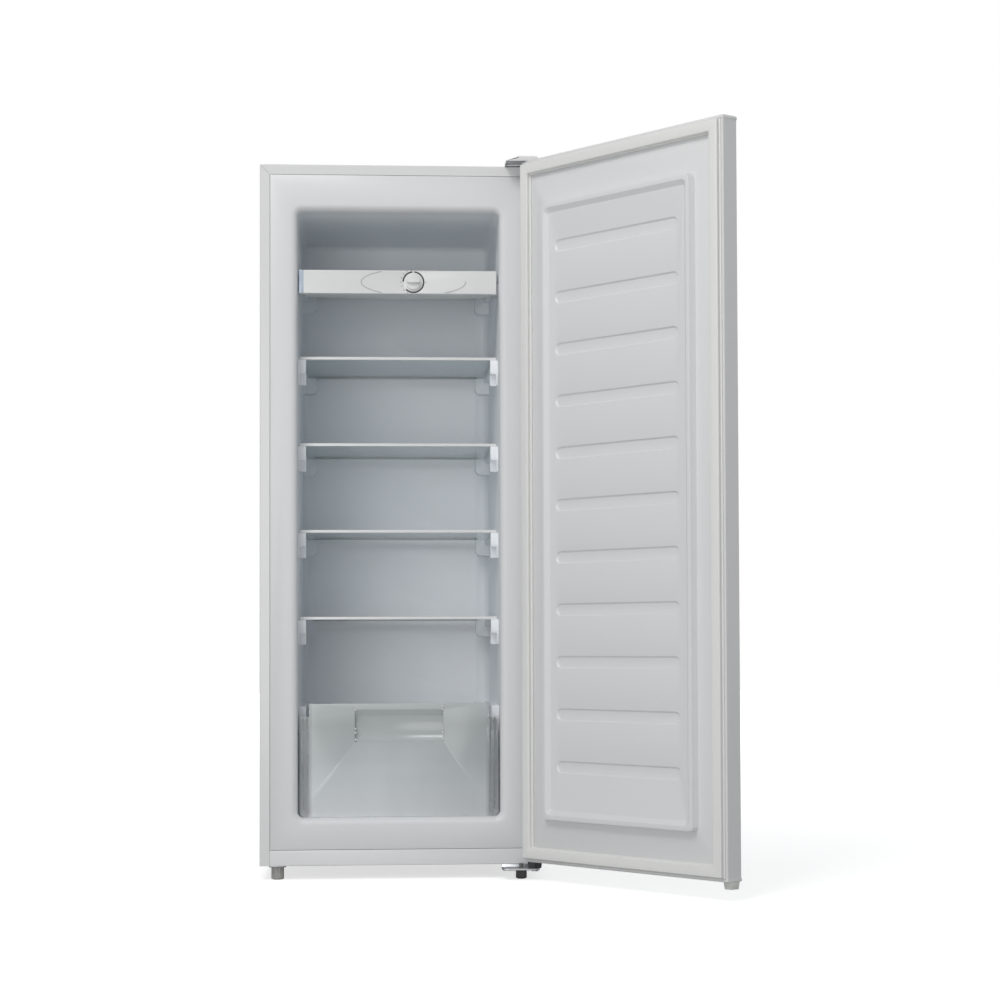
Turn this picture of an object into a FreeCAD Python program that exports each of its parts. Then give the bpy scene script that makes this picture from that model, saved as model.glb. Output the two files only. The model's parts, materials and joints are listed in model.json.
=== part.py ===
import FreeCAD, Part
import math
import os
from FreeCAD import Vector

# Upright manual-defrost freezer with its door open.
# Working frame: X to the viewer's right, Y from the front frame to the back, Z up.
# X = 0 is the cabinet's middle, Y = 0 the front face of its steel flange, Z = 0 the floor.
# The last step moves everything so that the origin lies on the floor under the middle of the whole.

# ---- clearances ----
REST_GAP = 0.3
RUNNING_FIT = 0.05

# ---- cabinet shell ----
CABINET_WIDTH = 554.0
CABINET_DEPTH = 500.0
BODY_HEIGHT = 1400.0
FOOT_HEIGHT = 28.0
SHEET = 0.6
SHEET_BEND = 2.5
FLANGE_WIDTH = 20.0
FLANGE_RETURN = 10.0
REAR_RETURN = 12.0
SEAM_GAP = 0.8
MITRE_GAP = 0.5
MITRE_STOP = 1.2
RAIL_HEIGHT = 31.0
RAIL_DEPTH = 38.0
RAIL_SHEET = 0.8
RAIL_EDGE = 1.6

# ---- liner and cavity ----
LINER_WALL = 1.5
LINER_RETURN = 8.0
SIDE_FRAME = 61.0
TOP_FRAME = 79.0
BOTTOM_FRAME = 80.0
LIP_RADIUS = 14.0
BACK_WALL = 70.0
CAVITY_CORNER = 12.0
CAVITY_BACK_CORNER = 16.0
BAY_WALL = 45.0
BAY_COVER = 50.0
STEP_SLOPE = 63.0

# ---- shelves and their ledges ----
SHELF_COUNT = 5
LOWEST_SHELF_RISE = 397.5
SHELF_FRONT = 65.0
SHELF_REAR_GAP = 13.0
SHELF_SIDE_GAP = 3.0
GLASS = 4.0
TRIM_WALL = 0.8
TRIM_DEPTH = 12.0
TRIM_FIT = 0.05
TRIM_EDGE = 0.7
REAR_TRIM_INSET = 21.0
GLASS_CORNER = 20.0
LEDGE_WIDTH = 11.0
LEDGE_HEIGHT = 10.0
LEDGE_NOTCH = 8.0
LEDGE_NOTCH_SET_BACK = 128.0
LUG_WIDTH = 15.0
LUG_DEPTH = 28.0
LUG_FACE = 22.0
LUG_DROP = 50.0
REAR_LUG_WIDTH = 30.0
REAR_LUG_DEPTH = 40.0
REAR_LUG_DROP = 34.0
REAR_LUG_CORNER = 9.0

# ---- control housing and thermostat ----
HOUSING_DROP = 163.5
HOUSING_HEIGHT = 47.5
HOUSING_SET_BACK = 18.0
HOUSING_SIDE_GAP = 4.5
HOUSING_DEPTH = 73.0
HOUSING_END_DEPTH = 50.0
HOUSING_WALL = 2.4
HOUSING_SCREW_RADIUS = 2.0
HOUSING_SCREW_HEAD = 1.6
HOUSING_SCREW_LENGTH = 12.0
HOUSING_LUG_REACH = 24.0
HOUSING_LUG_DEPTH = 26.0
HOUSING_LUG_HEIGHT = 22.0
HOUSING_LUG_PLACE = 30.0
DIAL_OFFSET = 30.0
DIAL_RING_RADIUS = 21.5
DIAL_RING_DEPTH = 0.8
DIAL_RING_WIDTH = 1.4
KNOB_RADIUS = 15.5
KNOB_HEIGHT = 11.0
KNOB_GRIP_WIDTH = 7.0
KNOB_GRIP_HEIGHT = 7.0
KNOB_GAP = 0.6
KNOB_STEM_RADIUS = 3.0
THERMOSTAT_WIDTH = 46.0
THERMOSTAT_DEPTH = 32.0
THERMOSTAT_HEIGHT = 34.0
BULB_RADIUS = 3.0
THERMOSTAT_CORNER = 4.0
KNOB_STEM_REACH = 12.0
KNOB_STEM_BORE = 14.0
KNOB_GRIP_ROUND = 2.2
BULB_LENGTH = 120.0
BULB_SET_BACK = 34.0
BULB_GAP = 6.0

# ---- drawer ----
DRAWER_FRONT_PLACE = 24.0
DRAWER_PANEL = 3.0
DRAWER_HEIGHT = 226.0
DRAWER_LEDGE_DROP = 3.3
DRAWER_FLOOR_GAP = REST_GAP
DRAWER_SIDE_GAP = 3.0
DRAWER_NOTCH_WIDTH = 19.0
DRAWER_NOTCH_HEIGHT = 26.0
DRAWER_BIN_WALL = 2.0
DRAWER_BIN_INSET = 24.0
DRAWER_BIN_DRAFT = 6.0
DRAWER_BIN_REAR_GAP = 8.0
DRAWER_BIN_CORNER = 14.0
DRAWER_RIM = 6.0
GRIP_HALF_WIDTH = 88.5
GRIP_HEIGHT = 77.0
GRIP_DEPTH = 14.0
GRIP_WALL = 2.0
GRIP_TOP_GAP = 12.0
GRIP_FLOOR_RISE = 16.0
GRIP_ROOF_DROP = 24.0
DRAWER_LIP = 8.0
DRAWER_LIP_HEIGHT = 2.4

# ---- door ----
DOOR_ANGLE = 127.5
DOOR_GAP = 13.0
DOOR_THICKNESS = 36.0
DOOR_LIFT = 8.0
DOOR_RISE = 2.0
DOOR_EDGE_RADIUS = 3.0
DOOR_SKIN_RETURN = 8.0
CAP_HEIGHT = 6.0
CAP_LIP = 8.0
PIN_INSET = 9.5
PIN_TO_FLANGE = 19.0
PIN_RADIUS = 4.0
PIN_HEAD_RADIUS = 6.5
PIN_HEAD = 2.5
PIN_TIP = 1.5
PLINTH_HEIGHT = 14.5
PLINTH_DRAFT = 2.5
PLINTH_FREE_EDGE = 75.0
PLINTH_HINGE_EDGE = 69.0
PLINTH_BOTTOM_EDGE = 88.0
PLINTH_TOP_EDGE = 98.0
PLINTH_CORNER = 10.0
RIM_WIDTH = 9.0
RIM_SLOPE = 9.0
RECESS_DEPTH = 7.0
GROOVE_COUNT = 11
GROOVE_END_GAP = 35.0
GROOVE_HEIGHT = 25.0
GROOVE_DEPTH = 3.0
GROOVE_SLOPE = 3.0
FIRST_GROOVE_DROP = 86.0
LAST_GROOVE_RISE = 103.0
GASKET_EDGE = 5.0
GASKET_WIDTH = 24.0
GASKET_CLOSED_GAP = 0.8
GASKET_SEAT_GAP = 0.2
GASKET_BASE_HEIGHT = 3.5
GASKET_NECK_HEIGHT = 3.0
GASKET_NECK_INSET = 4.0
MAGNET_WIDTH = 9.0
MAGNET_HEIGHT = 2.6
MAGNET_COVER = 1.2
MAGNET_END_GAP = 12.0
POCKET_HEIGHT = 170.0
POCKET_WIDTH = 36.0
POCKET_DEPTH = 18.0
POCKET_WALL = 1.6
POCKET_LIP = 5.0
POCKET_LIP_HEIGHT = 1.0
POCKET_CORNER = 12.0
POCKET_SHARE = 0.62
POCKET_INSET = 42.0

# ---- hinges, feet ----
BRACKET = 3.0
BRACKET_WIDTH = 73.0
BRACKET_DROP = 6.0
BRACKET_FRONT = 44.0
BRACKET_REAR = 50.0
BRACKET_STEP = 8.0
BRACKET_CORNER = 9.0
BRACKET_SCREW_INSET = 14.0
BRACKET_SCREW_STAGGER = 6.0
BUSH_DEPTH = 22.0
BUSH_TOP_GAP = 0.3
BUSH_WALL = 4.0
BUSH_DRAFT = 1.5
TOP_BRACKET_LIFT = 3.4
TOP_BRACKET_REAR = 46.0
TOP_BRACKET_WIDTH = 56.0
TOP_BRACKET_INSET = 2.0
TOP_BRACKET_JOGGLE = 4.0
TOP_SCREW_INSET = 12.0
TOP_SCREW_FRONT = 14.0
TOP_SCREW_REAR = 34.0
PIN_ENGAGEMENT = 16.0
COVER_HEIGHT = 17.0
COVER_WALL = 1.8
COVER_CLEARANCE = 3.0
COVER_OVERHANG = 1.5
COVER_INNER_SIDE = 9.0
COVER_NOSE = 34.0
COVER_NOSE_HEIGHT = 8.0
COVER_REAR_EDGE = 6.0
COVER_REAR_DROP = 4.0
COVER_EDGE = 2.5
SCREW_RADIUS = 2.5
SCREW_HEAD_RADIUS = 5.0
SCREW_HEAD = 2.4
SCREW_LENGTH = 14.0
SCREW_FIT = 0.1
LEFT_FOOT_RADIUS = 12.8
RIGHT_FOOT_RADIUS = 11.0
FOOT_INSET = 35.0
LEFT_FOOT_PLACE = 25.0
RIGHT_FOOT_PLACE = -8.0
FOOT_STUD_RADIUS = 4.0
STUD_REACH = 11.0
FOOT_RIBS = 14
FOOT_RIB = 1.2
FOOT_CHAMFER = 1.5
FOOT_PLATE_WIDTH = 34.0
FOOT_PLATE_CORNER = 6.0
REAR_FOOT_RADIUS = 15.0
REAR_FOOT_INSET = 42.0
REAR_FOOT_PLACE = 32.0

# ---- cold machine ----
BASE_SHEET = 0.8
BAY_DEPTH = 205.0
BAY_HEIGHT = 207.0
BAY_WALL_HEIGHT = 130.0
BAY_SLOPE = 60.0
BASE_PLATE = 2.0
BASE_PLATE_SET_BACK = 15.0
BASE_PLATE_FLANGE = 14.0
VENT_COUNT = 6
VENT_PITCH = 22.0
VENT_WIDTH = 6.0
VENT_END = 40.0
VENT_PLACE = 85.0
COMPRESSOR_RADIUS = 66.0
COMPRESSOR_HEIGHT = 152.0
COMPRESSOR_PLACE = 112.0
COMPRESSOR_SEAM = 3.0
COMPRESSOR_SEAM_HEIGHT = 5.0
COMPRESSOR_SEAM_SHARE = 0.62
COMPRESSOR_SET_BACK = 6.0
COMPRESSOR_BOWL = ((14.0, 0.0), (3.0, 10.0), (0.0, 24.0))
COMPRESSOR_DOME = ((0.0, 32.0), (12.0, 10.0), (36.0, 0.0))
COMPRESSOR_FOOT_SIDE = 14.0
COMPRESSOR_FOOT_END = 6.0
COMPRESSOR_FOOT_ARM = 16.0
COMPRESSOR_FOOT_WAIST = 30.0
TERMINAL_RISE = 34.0
TERMINAL_DEPTH = 34.0
TERMINAL_HALF_WIDTH = 30.0
TERMINAL_HEIGHT = 56.0
TERMINAL_CORNER = 5.0
GROMMET_HEIGHT = 12.0
GROMMET_RADIUS = 10.0
GROMMET_SPREAD = 62.0
GROMMET_NECK = 5.0
GROMMET_LIP = 3.0
BOLT_RADIUS = 3.2
NUT_RADIUS = 7.5
NUT_HEIGHT = 6.0
FOOT_SHEET = 3.0
TUBE_RADIUS = 3.2
TUBE_BEND = 14.0
SUCTION_RISE = 60.0
SUCTION_REACH = 34.0
DISCHARGE_RISE = 40.0
DISCHARGE_REACH = 58.0
DISCHARGE_OFFSET = 26.0
RISER_BEND = 8.0
RISER_LIFT = 24.0
RISER_REACH = 40.0
DRIER_RADIUS = 9.5
DRIER_LENGTH = 110.0
DRIER_NECK = 18.0
DRIER_GAP = 84.0
DRIER_SET_BACK = 70.0
DRIER_LIFT = 30.0
CONDENSER_RADIUS = 2.4
CONDENSER_RUNS = 4
CONDENSER_PITCH = 100.0
CONDENSER_RISE = 95.0
CONDENSER_DROP = 98.0
CONDENSER_FRONT = 90.0
CONDENSER_BEND = 20.0
EVAPORATOR = 1.5
EVAPORATOR_CHANNEL = 3.0
EVAPORATOR_SIDE_GAP = 40.0
EVAPORATOR_RISE = 298.0
EVAPORATOR_DROP = 60.0
EVAPORATOR_RUNS = 7
EVAPORATOR_MARGIN = 30.0
EVAPORATOR_SIDE_MARGIN = 20.0
EVAPORATOR_TRACK = 10.0
GLAND_RADIUS = 7.0
GLAND_FLANGE = 3.0
GLAND_REACH = 8.0
GLAND_PLACE = 60.0
CORD_RADIUS = 3.6

# ---- worked out from the sizes above ----
HALF = CABINET_WIDTH / 2
BODY_TOP = FOOT_HEIGHT + BODY_HEIGHT
INSIDE = HALF - SHEET
CAVITY_HALF = HALF - SIDE_FRAME - LIP_RADIUS
CAVITY_BOTTOM = FOOT_HEIGHT + BOTTOM_FRAME + LIP_RADIUS
CAVITY_TOP = BODY_TOP - TOP_FRAME - LIP_RADIUS
RAIL_TOP = FOOT_HEIGHT + RAIL_HEIGHT
LINER_HALF = HALF - FLANGE_WIDTH - SEAM_GAP
LINER_TOP = BODY_TOP - FLANGE_WIDTH - SEAM_GAP
LINER_BOTTOM = RAIL_TOP + SEAM_GAP
BAY_FRONT = CABINET_DEPTH - BAY_DEPTH
BASE_REAR = CABINET_DEPTH - SHEET - REST_GAP
BAY_TOP = FOOT_HEIGHT + BAY_HEIGHT
BASE_PLATE_DEPTH = BAY_DEPTH - BASE_PLATE_SET_BACK
CAVITY_DEPTH = CABINET_DEPTH - BACK_WALL
STEP_DEPTH = BAY_FRONT - BAY_WALL
STEP_HEIGHT = BAY_TOP + BAY_COVER - CAVITY_BOTTOM
LEDGE_NOTCH_PLACE = CAVITY_DEPTH - LEDGE_NOTCH_SET_BACK
CONDENSER_BOTTOM = BAY_TOP + CONDENSER_RISE
CONDENSER_TOP = BODY_TOP - CONDENSER_DROP
DRAWER_TOP = CAVITY_BOTTOM + DRAWER_HEIGHT
DRAWER_BIN_HALF_WIDTH = CAVITY_HALF - DRAWER_BIN_INSET
DOOR_BOTTOM = FOOT_HEIGHT + DOOR_LIFT
DOOR_TOP = BODY_TOP + DOOR_RISE
PLINTH_LEFT = HALF - PLINTH_FREE_EDGE
PLINTH_RIGHT = HALF - PLINTH_HINGE_EDGE
PLINTH_BOTTOM = DOOR_BOTTOM + PLINTH_BOTTOM_EDGE
PLINTH_TOP = DOOR_TOP - PLINTH_TOP_EDGE
GROOVE_LENGTH = PLINTH_LEFT + PLINTH_RIGHT - 2 * GROOVE_END_GAP
GROOVE_PITCH = (PLINTH_TOP - PLINTH_BOTTOM - FIRST_GROOVE_DROP - LAST_GROOVE_RISE) / (GROOVE_COUNT - 1)
POCKET_CENTRE = DOOR_BOTTOM + POCKET_SHARE * (DOOR_TOP - DOOR_BOTTOM)
HINGE_X = HALF - PIN_INSET
HINGE_Y = -DOOR_GAP - PIN_TO_FLANGE
FLANGE_Y = -DOOR_GAP
DOOR_FACE_Y = -DOOR_GAP - DOOR_THICKNESS
TRIM_HEIGHT = GLASS + 2 * TRIM_WALL + 2 * TRIM_FIT
HOUSING_BOTTOM = CAVITY_TOP - HOUSING_DROP
LOWEST_SHELF = CAVITY_BOTTOM + LOWEST_SHELF_RISE
TOP_SHELF = HOUSING_BOTTOM + HOUSING_HEIGHT + TRIM_HEIGHT / 2 + REST_GAP
SHELF_PITCH = (TOP_SHELF - LOWEST_SHELF) / (SHELF_COUNT - 1)
GASKET_HEIGHT = DOOR_GAP - GASKET_CLOSED_GAP
CORNER_STEPS = 3
HARDWARE_SIDES = 12
POT_SIDES = 28
PARTS = {}


# ---- plain helpers ----
def box(x0, x1, y0, y1, z0, z1):
    return Part.makeBox(x1 - x0, y1 - y0, z1 - z0, Vector(x0, y0, z0))


def rod(radius, start, end):
    along = Vector(*end) - Vector(*start)
    return Part.makeCylinder(radius, along.Length, Vector(*start), along)


def closed_face(points):
    return Part.Face(Part.makePolygon([Vector(*p) for p in points + points[:1]]))


def prism_x(yz, x0, x1):
    """A side profile of (y, z) points, drawn out along X."""
    return closed_face([(x0, y, z) for y, z in yz]).extrude(Vector(x1 - x0, 0, 0))


def prism_z(xy, z0, z1):
    """A plan of (x, y) points, drawn out along Z."""
    return closed_face([(x, y, z0) for x, y in xy]).extrude(Vector(0, 0, z1 - z0))


def facet_rod(radius, start, end):
    """A small rod or hole with flat sides, for hardware where a true circle would not show."""
    start = Vector(*start)
    along = Vector(*end) - start
    turn = FreeCAD.Rotation(Vector(0, 0, 1), along)
    ring = []
    for n in range(HARDWARE_SIDES):
        angle = 2 * math.pi * n / HARDWARE_SIDES
        ring.append(start + turn.multVec(Vector(radius * math.cos(angle), radius * math.sin(angle), 0)))
    return Part.Face(Part.makePolygon(ring + ring[:1])).extrude(along)


def skin(rings):
    """A closed solid of flat faces stretched through matching rings of points."""
    faces = [Part.Face(Part.makePolygon(ring + ring[:1])) for ring in (rings[0], rings[-1])]
    for low, high in zip(rings, rings[1:]):
        for n, start in enumerate(low):
            after = (n + 1) % len(low)
            faces.append(Part.Face(Part.makePolygon([start, low[after], high[after], high[n], start])))
    shell = Part.makeShell(faces)
    shell.sewShape()
    solid = Part.makeSolid(shell)
    if solid.Volume < 0:
        solid.reverse()
    return solid


def facet_turned(outline, centre, sides):
    """A turned form with flat sides, through the (radius, height) points."""
    rings = []
    for radius, z in outline:
        ring = []
        for n in range(sides):
            angle = 2 * math.pi * n / sides
            x = centre[0] + radius * math.cos(angle)
            y = centre[1] + radius * math.sin(angle)
            ring.append(Vector(x, y, z))
        rings.append(ring)
    return skin(rings)


def fillet(shape, radius, chosen):
    """Rounds the edges whose two ends and middle all satisfy the test."""
    edges = []
    for edge in shape.Edges:
        middle = edge.valueAt((edge.FirstParameter + edge.LastParameter) / 2)
        points = [v.Point for v in edge.Vertexes] + [middle]
        if all(chosen(p) for p in points):
            edges.append(edge)
    return shape.makeFillet(radius, edges)


def near(a, b):
    return abs(a - b) < 0.01


def rounded_wire(x0, x1, z0, z1, radius, y):
    """A rounded rectangle in the plane of the door or the front frame."""
    arc = radius * (1 - math.sqrt(0.5))
    corners = [(x1, z0, -1, 1), (x1, z1, -1, -1), (x0, z1, 1, -1), (x0, z0, 1, 1)]
    starts = []
    for x, z, sx, sz in corners:
        along_x = Vector(x + sx * radius, y, z)
        along_z = Vector(x, y, z + sz * radius)
        middle = Vector(x + sx * arc, y, z + sz * arc)
        starts.append((along_x, middle, along_z))
    edges = []
    for i, (along_x, middle, along_z) in enumerate(starts):
        first, last = (along_x, along_z) if i % 2 == 0 else (along_z, along_x)
        edges.append(Part.Arc(first, middle, last).toShape())
        following = starts[(i + 1) % 4]
        target = following[2] if i % 2 == 0 else following[0]
        edges.append(Part.LineSegment(last, target).toShape())
    return Part.Wire(edges)


def soft_ring(x0, x1, z0, z1, radius, y):
    """The points of a rounded rectangle whose corners take a few short straight steps each."""
    points = []
    corners = [(x1 - radius, z0 + radius, -90), (x1 - radius, z1 - radius, 0),
               (x0 + radius, z1 - radius, 90), (x0 + radius, z0 + radius, 180)]
    for cx, cz, start in corners:
        for step in range(CORNER_STEPS + 1):
            angle = math.radians(start + 90 * step / CORNER_STEPS)
            points.append(Vector(cx + radius * math.cos(angle), y, cz + radius * math.sin(angle)))
    return points


def soft_taper(first, last):
    """A flat-faced solid between two soft rings, each given as (x0, x1, z0, z1, corner, y)."""
    return skin([soft_ring(*first), soft_ring(*last)])


def soft_block(x0, x1, z0, z1, radius, y0, y1):
    """A block with soft corners, from one depth to another."""
    return soft_taper((x0, x1, z0, z1, radius, y0), (x0, x1, z0, z1, radius, y1))


def cut_wire(x0, x1, z0, z1, cut, y):
    """A rectangle with its corners cut off at 45 degrees, used where nothing shows."""
    points = [(x0 + cut, z0), (x1 - cut, z0), (x1, z0 + cut), (x1, z1 - cut),
              (x1 - cut, z1), (x0 + cut, z1), (x0, z1 - cut), (x0, z0 + cut)]
    return Part.makePolygon([Vector(x, y, z) for x, z in points + points[:1]])


def taper(first, last, outline=rounded_wire):
    """A solid between two outlines, each given as (x0, x1, z0, z1, corner, y)."""
    return Part.makeLoft([outline(*first), outline(*last)], True, True)


def bent_sheet(yz, thickness, x0, x1):
    """A sheet bent along a side profile; the points run along its left-hand face."""
    inner = []
    for i, (y, z) in enumerate(yz):
        before = yz[max(i - 1, 0)]
        after = yz[min(i + 1, len(yz) - 1)]
        into = direction(before, (y, z)) if i else direction((y, z), after)
        out = direction((y, z), after) if i < len(yz) - 1 else into
        normal = (into[1] + out[1], -into[0] - out[0])
        scale = thickness / (normal[0] * into[1] - normal[1] * into[0])
        inner.append((y + normal[0] * scale, z + normal[1] * scale))
    return prism_x(yz + inner[::-1], x0, x1)


def direction(a, b):
    length = math.hypot(b[0] - a[0], b[1] - a[1])
    return (b[0] - a[0]) / length, (b[1] - a[1]) / length


def tube(points, radius, bend):
    """An eight-sided tube along straight runs, each turn rounded in three short steps."""
    points = [Vector(*p) for p in points]
    path = [points[0]]
    for before, corner, after in zip(points, points[1:], points[2:]):
        into = (corner - before).normalize()
        out = (after - corner).normalize()
        half = into.getAngle(out) / 2
        reach = bend * math.tan(half)
        centre = corner + (out - into).normalize() * (bend / math.cos(half))
        arm = corner - into * reach - centre
        turn_axis = into.cross(out)
        for n in range(4):
            turn = FreeCAD.Rotation(turn_axis, math.degrees(2 * half) * n / 3)
            path.append(centre + turn.multVec(arm))
    path.append(points[-1])
    along = (path[1] - path[0]).normalize()
    across = along.cross(Vector(0, 1, 0) if abs(along.y) < 0.9 else Vector(1, 0, 0)).normalize()
    ring = []
    for n in range(9):
        turn = FreeCAD.Rotation(along, 45 * n + 22.5)
        ring.append(path[0] + turn.multVec(across) * radius)
    return Part.makePolygon(path).makePipeShell([Part.makePolygon(ring)], True, False, 1)


def mirrored(shape):
    return shape.mirror(Vector(0, 0, 0), Vector(1, 0, 0))


def add(name, *shapes):
    PARTS.setdefault(name, []).extend(shapes)


# ---- cabinet shell ----
def shell_outside():
    """The cabinet's outside with its bent edges rounded."""
    block = box(-HALF, HALF, 0, CABINET_DEPTH, FOOT_HEIGHT - 1, BODY_TOP)
    block = fillet(block, SHEET_BEND, lambda p: near(p.z, BODY_TOP) and near(abs(p.x), HALF))
    return fillet(block, SHEET_BEND, lambda p: near(p.y, 0) and p.z > FOOT_HEIGHT - 0.5)


def shell_inside(y0):
    """The room inside the sheet, whose bends are drawn as flats where nothing shows."""
    top = BODY_TOP - SHEET
    flat = SHEET_BEND / 2
    plan = [(-INSIDE, y0 + flat), (-INSIDE + flat, y0), (INSIDE - flat, y0), (INSIDE, y0 + flat),
            (INSIDE, CABINET_DEPTH - SHEET), (-INSIDE, CABINET_DEPTH - SHEET)]
    block = prism_z(plan, FOOT_HEIGHT - 1, top)
    front = cut_wire(-INSIDE, INSIDE, FOOT_HEIGHT - 1 - HALF, top, flat, y0 - 1)
    side = prism_x([(y0, 0), (y0, top - flat), (y0 + flat, top), (CABINET_DEPTH, top), (CABINET_DEPTH, 0)],
                   -INSIDE - 1, INSIDE + 1)
    return block.common(Part.Face(front).extrude(Vector(0, CABINET_DEPTH + 2, 0))).common(side)


def outer_wrap():
    outside = shell_outside()
    inside = shell_inside(SHEET)
    opening_half = HALF - FLANGE_WIDTH
    opening_top = BODY_TOP - FLANGE_WIDTH
    opening = box(-opening_half, opening_half, -1, SHEET + 1, FOOT_HEIGHT - 2, opening_top)
    rear_half = HALF - REAR_RETURN
    rear_top = BODY_TOP - REAR_RETURN
    rear = box(-rear_half, rear_half, CABINET_DEPTH - 2, CABINET_DEPTH + 1, 0, rear_top)
    below = box(-HALF - 1, HALF + 1, -1, CABINET_DEPTH + 1, 0, FOOT_HEIGHT)
    shell = outside.cut([inside, opening, rear, below])
    turn_in = box(
        -opening_half - SHEET, opening_half + SHEET, 0, FLANGE_RETURN, FOOT_HEIGHT, opening_top + SHEET
    )
    hollow = box(-opening_half, opening_half, -1, FLANGE_RETURN + 1, 0, opening_top)
    shell = shell.fuse(turn_in.cut(hollow)).removeSplitter()
    return shell.cut([mitre_cut(1), mitre_cut(-1)] + top_screw_holes())


def mitre_cut(side):
    """The fine diagonal seam where the front flange is mitred, stopping short of both its ends."""
    inner = Vector(side * (HALF - FLANGE_WIDTH), -1, BODY_TOP - FLANGE_WIDTH)
    across = Vector(side, 0, 1).normalize()
    slot = Part.makeBox(MITRE_GAP, SHEET + 1, (FLANGE_WIDTH - SHEET_BEND) * math.sqrt(2) - 2 * MITRE_STOP)
    slot.translate(Vector(-MITRE_GAP / 2, 0, MITRE_STOP))
    slot.rotate(Vector(0, 0, 0), Vector(0, 1, 0), math.degrees(math.atan2(across.x, across.z)))
    slot.translate(inner)
    return slot


def back_panel():
    y1 = CABINET_DEPTH - SHEET
    half = INSIDE - REST_GAP
    top = BODY_TOP - SHEET - REST_GAP
    panel = box(-half, half, y1 - SHEET, y1, BAY_TOP, top)
    return fillet(panel, SHEET_BEND, lambda p: near(p.z, top) and near(abs(p.x), half))


def bay_profile(shift):
    """The side profile of the machine bay's front and top, moved outwards by a shift."""
    wall_top = FOOT_HEIGHT + BAY_WALL_HEIGHT
    lean = math.tan(math.atan2(BAY_TOP - wall_top, BAY_SLOPE) / 2) * shift
    return [
        (BAY_FRONT - shift, FOOT_HEIGHT),
        (BAY_FRONT - shift, wall_top + lean),
        (BAY_FRONT + BAY_SLOPE - lean, BAY_TOP + shift),
        (CABINET_DEPTH - 2 * SHEET, BAY_TOP + shift),
    ]


def base_panel():
    front = RAIL_DEPTH + REST_GAP
    outline = [(front, FOOT_HEIGHT)] + bay_profile(0)
    inner = bay_profile(BASE_SHEET)
    inner[0] = (inner[0][0], FOOT_HEIGHT + BASE_SHEET)
    outline += inner[::-1] + [(front, FOOT_HEIGHT + BASE_SHEET)]
    return prism_x(outline, -INSIDE + REST_GAP, INSIDE - REST_GAP)


def bottom_front_rail():
    half = HALF - FLANGE_WIDTH - REST_GAP
    outside = box(-half, half, 0, RAIL_DEPTH, FOOT_HEIGHT, RAIL_TOP)
    outside = fillet(outside, RAIL_EDGE,
                     lambda p: near(p.y, 0) and (near(p.z, FOOT_HEIGHT) or near(p.z, RAIL_TOP)))
    hollow = box(
        -half - 1, half + 1, RAIL_SHEET, RAIL_DEPTH + 1, FOOT_HEIGHT + RAIL_SHEET, RAIL_TOP - RAIL_SHEET
    )
    stud_x = HALF - FOOT_INSET
    hole = rod(
        FOOT_STUD_RADIUS + 1, (-stud_x, LEFT_FOOT_PLACE, 0), (-stud_x, LEFT_FOOT_PLACE, FOOT_HEIGHT + 3)
    )
    screw_holes = [facet_rod(SCREW_RADIUS + SCREW_FIT, (a, b, 0), (a, b, FOOT_HEIGHT + 3))
                   for a, b in bottom_screw_places()]
    return outside.cut([hollow, hole] + screw_holes)


# ---- liner, cavity and foam ----
def cavity_profile(grow):
    """The side view of the cold space as (y, z) points, grown outwards, open at the front."""
    lean = grow * (math.sqrt(2) - 1)
    floor = CAVITY_BOTTOM - grow
    step_top = CAVITY_BOTTOM + STEP_HEIGHT - grow
    slope_low = CAVITY_BOTTOM + STEP_HEIGHT - STEP_SLOPE - lean
    slope_back = STEP_DEPTH + STEP_SLOPE + lean
    back = CAVITY_DEPTH + grow
    top = CAVITY_TOP + grow
    front = -LIP_RADIUS
    return [
        (front, floor), (STEP_DEPTH + grow, floor), (STEP_DEPTH + grow, slope_low),
        (slope_back, step_top), (back, step_top), (back, top), (front, top),
    ]


def cavity_air():
    """The cold space itself, with the rounded corners of the vacuum-formed liner."""
    front = cavity_profile(0)[0][0]
    back, top = cavity_profile(0)[5]
    step_top = CAVITY_BOTTOM + STEP_HEIGHT
    half = CAVITY_HALF
    air = prism_x(cavity_profile(0), -half, half)
    air = fillet(air, CAVITY_BACK_CORNER, lambda p: near(p.y, back) and near(abs(p.x), half))
    behind = back - CAVITY_BACK_CORNER

    chosen = []
    for edge in air.Edges:
        middle = edge.valueAt((edge.FirstParameter + edge.LastParameter) / 2)
        upright = near(middle.y, behind) and step_top + 1 < middle.z < top - 1
        at_front = all(near(v.Point.y, front) for v in edge.Vertexes)
        on_side = near(abs(middle.x), half)
        round_back = middle.y > behind - 0.01 and (near(middle.z, top) or near(middle.z, step_top))
        if (on_side or round_back) and not upright and not at_front:
            chosen.append(edge)
    return air.makeFillet(CAVITY_CORNER, chosen)


def cavity_room(wall):
    """The hole that the liner fills in the foam: flats stand in for the rounded corners and the lip."""
    half = CAVITY_HALF + wall
    low = CAVITY_BOTTOM - wall
    high = CAVITY_TOP + wall
    flat = 0.55 * (CAVITY_CORNER + wall)
    room = prism_x(cavity_profile(wall), -half, half)
    section = Part.Face(cut_wire(-half, half, low, high, flat, -LIP_RADIUS))
    room = room.common(section.extrude(Vector(0, CABINET_DEPTH, 0)))
    reach = 0.72 * (LIP_RADIUS - wall)
    wide = flat + 0.58 * reach
    flare = taper((-half - reach, half + reach, low - reach, high + reach, wide, wall),
                  (-half, half, low, high, flat, wall + reach), cut_wire)
    return room.fuse(flare)


def liner_block():
    """A block around the cold space with the mouth's lip rounded."""
    rear = CABINET_DEPTH - 2 * SHEET
    block = box(-LINER_HALF, LINER_HALF, 0, rear, LINER_BOTTOM, LINER_TOP).cut(cavity_air())
    reach = CAVITY_HALF + 0.01

    def mouth(p):
        return near(p.y, 0) and abs(p.x) < reach and CAVITY_BOTTOM - 0.01 < p.z < CAVITY_TOP + 0.01

    return fillet(block, LIP_RADIUS, mouth)


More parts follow.
